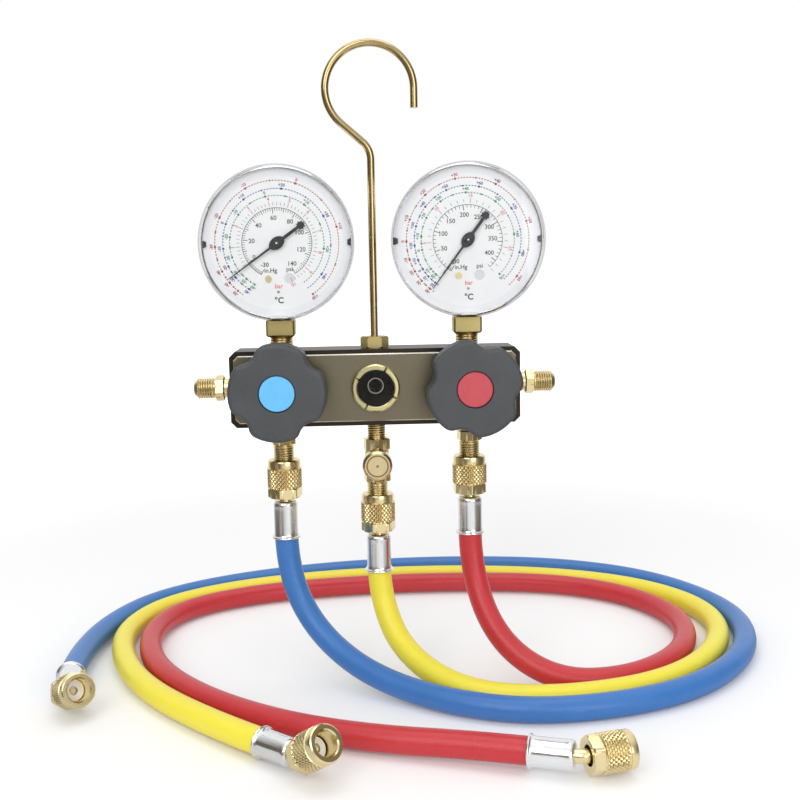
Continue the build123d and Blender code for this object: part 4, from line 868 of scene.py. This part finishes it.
def dial_print(side):
    """Scales, numbers and units of one dial, as thin raised ink in one piece."""
    centre = (GAUGE_X[side], GAUGE_Z)
    data = DIALS[side]
    shells, inks = [], []
    names = list(INKS)

    def ink(colour, outlines, front=0.024):
        shells.append(prisms(outlines, DIAL_FACE_Y - front, INK_BACK_Y, centre))
        inks.append(names.index(colour))

    def write(colour, text, height, place, turn=0.0, bold=0.05):
        shells.append(label_shell(text, height, place, turn, centre, bold))
        inks.append(names.index(colour))

    zero, step, top, minor, middle, major = data["psi"]
    psi_r, short_r, middle_r, long_r = 18.15, 16.5, 15.9, 15.2
    short_w, middle_w, long_w = 0.27, 0.31, 0.36
    for every, inner, width in ((minor, short_r, short_w), (middle, middle_r, middle_w),
                                (major, long_r, long_w)):
        ink("black", tick_outlines(zero + step * np.arange(0, top + 0.1, every), inner, psi_r, width))
    start, count = data["vacuum"]
    ink("black", tick_outlines(np.linspace(start, zero, count + 1), short_r, psi_r, short_w))
    ink("black", tick_outlines([start], long_r, psi_r, long_w))
    ink("black", dash_outlines(np.arange(data["end"], start, 1.5), 18.0, 0.5, 0.26))
    for value in range(major, top + 1, major):
        angle = zero + step * value
        lift = 6.0 if angle < 30 else 0.0
        write("black", str(value), 2.25, around_dial(angle + lift, 13.0))
    write("black", "-30", 2.2, around_dial(239, 12.7))
    write("black", "0", 2.2, around_dial(zero + (-3 if side == "low" else 2), 13.8))
    write("black", "in.Hg", 2.2, (-3.6, -14.2))
    write("black", "psi", 2.2, (6.1, -13.7))
    bar, top_bar, marks_a_bar, number_step = data["bar"]
    fine = np.arange(0, top_bar + 0.01, 1.0 / marks_a_bar)
    ink("grey", tick_outlines(zero - bar * fine, 19.2, 20.8, 0.25))
    whole = np.arange(0, top_bar + 0.01, number_step)
    ink("pink", tick_outlines(zero - bar * whole, 18.9, 21.4, 0.3))
    for value in whole[1:]:
        angle = zero - bar * value
        write("pink", f"{int(value)}", 1.75, around_dial(angle, 22.7), math.radians(angle - 90))
    dash_step, dash_l, dash_w, number_out, wide_gap = 1.55, 0.85, 0.5, 1.9, 8
    for colour, radius in RINGS.items():
        angles = list(data[colour].values())
        dashes = np.arange(data["end"] + 4, min(241.0, angles[0] + 6), math.degrees(dash_step / radius))
        ink(colour, dash_outlines(dashes, radius, dash_l, dash_w))
        ink(colour, dot_outlines(angles, radius, 0.62))
        for a, b in zip(angles, angles[1:]):
            if abs(a - b) > wide_gap:
                ink(colour, dot_outlines([a + (b - a) * 0.5], radius, 0.47))
        for value, angle in data[colour].items():
            write(colour, f"{value:+d}" if value else "0", 1.5, around_dial(angle, radius + number_out),
                  math.radians(angle - 90), bold=0.07)
    write("pink", "bar", 2.2, (0.4, -22.0))
    ink("grey", dot_outlines([-90], 25.0, 0.75))
    write("black", "°C", 3.0, (0.3, -29.2), bold=0.12)
    ink("pale", dot_outlines([-71.8], 19.0, 2.8), front=0.012)
    add_piece(f"{side}_dial_print", shells, list(INKS.values()), "manifold",
              smooth=False, indices=inks)


def rim_marks(side):
    """Dark locating marks at three and nine o'clock and a pale tab at six, inside the lens rim, and
    the turned bead round the dial."""
    centre = (GAUGE_X[side], GAUGE_Z)
    inner, outer, inner_half, outer_half = 36.2, 37.9, 1.2, 2.0
    right = np.array([(inner, -inner_half), (outer, -outer_half), (outer, outer_half), (inner, inner_half)])
    left = (right * (-1, 1))[::-1]
    dark = prisms([left, right], -11.2, RIM_BACK_Y, centre)
    tab = prisms([[(-4.2, -38.15), (4.2, -38.15), (4.2, -37.2), (-4.2, -37.2)]], -13.5, RIM_BACK_Y, centre)
    bead = [(37.75, 0.0), (38.55, 0.0), (38.6, 0.9), (38.45, 1.6), (38.15, 1.9), (37.85, 1.6)]
    ring = lathe(bead, (GAUGE_X[side], RIM_BACK_Y, GAUGE_Z), (0, -1, 0), around=180)
    add_piece(f"{side}_rim_bead", [ring], [CASE], "manifold")
    add_piece(f"{side}_rim_marks", [dark, tab], [BLACK_SEAL, WHITE_SEAL], "manifold",
              smooth=False, indices=[0, 1])


def shaped_pointer(side):
    """Flat pointer: a tapered needle, an eye-shaped boss, an arm, a counterweight with eight points,
    a round hub and a small white dot at its centre."""
    x = GAUGE_X[side]
    rest = math.radians(POINTER_REST[side])
    c, s = math.cos(rest), math.sin(rest)

    def laid(along, wide, front):
        along, wide = np.asarray(along, float), np.asarray(wide, float)
        outline = np.stack([along * c - wide * s, along * s + wide * c], axis=-1)
        return prisms(outline[None], front, POINTER_BACK_Y, (x, GAUGE_Z))

    tip, tail, points = 31.0, -15.3, 8
    needle = laid((0, tip, tip, 0), (-0.65, -0.18, 0.18, 0.65), -12.06)
    arm = laid((tail, 0, 0, tail), (-0.8, -0.85, 0.85, 0.8), -12.04)
    turn = np.linspace(0, math.tau, 32, endpoint=False)
    eye = laid(4.7 * np.cos(turn), 3.1 * np.sin(turn) * np.abs(np.sin(turn)) ** 0.3, -12.1)
    corner = np.arange(2 * points)
    reach, way = np.where(corner % 2 == 0, 2.45, 1.75), np.radians(corner * 180.0 / points)
    star = laid(tail + reach * np.cos(way), reach * np.sin(way), -12.08)
    hub_line = [(0.001, 0.0), (1.9, 0.0), (1.9, 1.5), (1.6, 1.8), (0.001, 1.8)]
    hub = lathe(hub_line, (x, POINTER_BACK_Y, GAUGE_Z), (0, -1, 0), around=48, loop=False)
    # A small matt white dot at the hub's centre.
    centre_dot_line = [(0.001, 0.0), (0.5, 0.0), (0.5, 0.25), (0.38, 0.42), (0.15, 0.5), (0.001, 0.51)]
    centre_dot = lathe(centre_dot_line, (x, -13.3, GAUGE_Z), (0, -1, 0), around=24, loop=False)
    add_piece(f"{side}_pointer_shaped", [centre_dot, hub, needle, arm, eye, star], [WHITE_SEAL, POINTER],
              f"{side}_pointer_arbor", replaces=[f"{side}_pointer"], smooth=False,
              indices=[0, 1, 1, 1, 1, 1])


def sight_ring():
    """Turned ring with a bevelled inside edge, a flat face and a stepped outside edge. Where the turn
    lies within three degrees of a notch, heights over the notch's floor are cut down to it."""
    floor, half_notch, half_shaded_line = 3.45, 3.0, 1.6
    profile = [
        (10.35, -3.25), (11.3, -3.25), (11.3, 0.0), (12.5, 0.0), (12.5, 3.2), (12.25, 3.5),
        (12.25, 3.85), (11.7, 4.4), (10.25, 4.5), (9.65, 4.1), (9.6, 3.5), (10.35, 3.5),
    ]
    points, faces, uvs, cut = lathe(profile, (0, PAD_Y, AXIS_Z), (0, -1, 0), around=360)
    turn = np.degrees(np.arctan2(points[:, 2] - AXIS_Z, points[:, 0]))
    away = np.min([np.abs((turn - notch + 180) % 360 - 180) for notch in NOTCH_ANGLES], axis=0)
    raised = PAD_Y - points[:, 1] > floor
    points[:, 1] = np.where(raised & (away < half_notch), PAD_Y - floor, points[:, 1])
    # Painted shade: the middle of each notch takes the near-black groove colour.
    cut = np.where(raised & (away < half_shaded_line), 1.0, cut)
    add_piece("sight_ring_notched", [(points, faces, uvs, cut)], [PALE_BRASS], "manifold",
              replaces=["sight_ring"], sharp=20.0)


def neck_threads():
    """Threads that show between the block and each gauge's square."""
    profile = [(5.52, 0.1), (5.62, 0.1), (6.15, 0.6), (6.15, 6.4, "thread"), (5.62, 6.9), (5.52, 6.9)]
    rings = [lathe(profile, (x, 0, TOP_Z), (0, 0, 1), around=120) for x in GAUGE_X.values()]
    add_piece("gauge_neck_threads", rings, [BRASS], "manifold")


# ---------------------------------------------------------------- everything
def paint_nodes():
    """Finishes of the CAD pieces that are shown as they are."""
    finishes = [
        (BLOCK, ["manifold_body"]), (CAP_FACE, ["service_cap"]), (BLACK_SEAL, ["cap_seal", "sight_seal"]),
        (ROD_BRASS_AND_REFLECTED_YELLOW, ["hook_rod"]), (SATIN_BRASS, ["hook_nut"]), (SIGHT, ["sight_glass"]),
        (WHITE_SEAL, ["packing_rings", "port_gaskets"]), (GASKET, ["free_gaskets"]),
        (BRASS, ["dial_screws", "bourdon_tubes", "movement_frames", "port_tails"]),
        (BRASS, [f"{colour}_free_tail" for colour in PORT_X]),
    ]
    for side in GAUGE_X:
        brass_parts = ("valve_bonnet", "spindle", "pinion", "sector", "gauge_link")
        finishes += [
            (BRASS, [f"{side}_{part}" for part in brass_parts]), (WHITE_SEAL, [f"{side}_seat_disc"]),
            (KNOB, [f"{side}_knob"]), (CAP_FINISH[side], [f"{side}_knob_cap"]),
            (SATIN_BRASS, [f"{side}_gauge_socket"]), (CASE, [f"{side}_gauge_case"]),
            (LENS, [f"{side}_gauge_lens"]), (DIAL, [f"{side}_gauge_dial"]),
        ]
    for finish, names in finishes:
        for name in names:
            mesh = nodes[name].data
            mesh.materials.clear()
            mesh.materials.append(finish)


make_camera()
WALLS = make_room()
make_world(WALLS)
make_light("key_lamp", (-0.55, -1.35, 0.70), 1.0, 8.5)
make_light("fill_lamp", (0.65, -1.35, 0.20), 0.8, 4.5)
make_light("top_lamp", (0.0, 0.1, 1.3), 1.2, 5.5)
make_floor(WALLS)
make_hoses()
for gauge in GAUGE_X:
    dial_print(gauge)
    rim_marks(gauge)
    shaped_pointer(gauge)
sight_ring()
neck_threads()
paint_nodes()
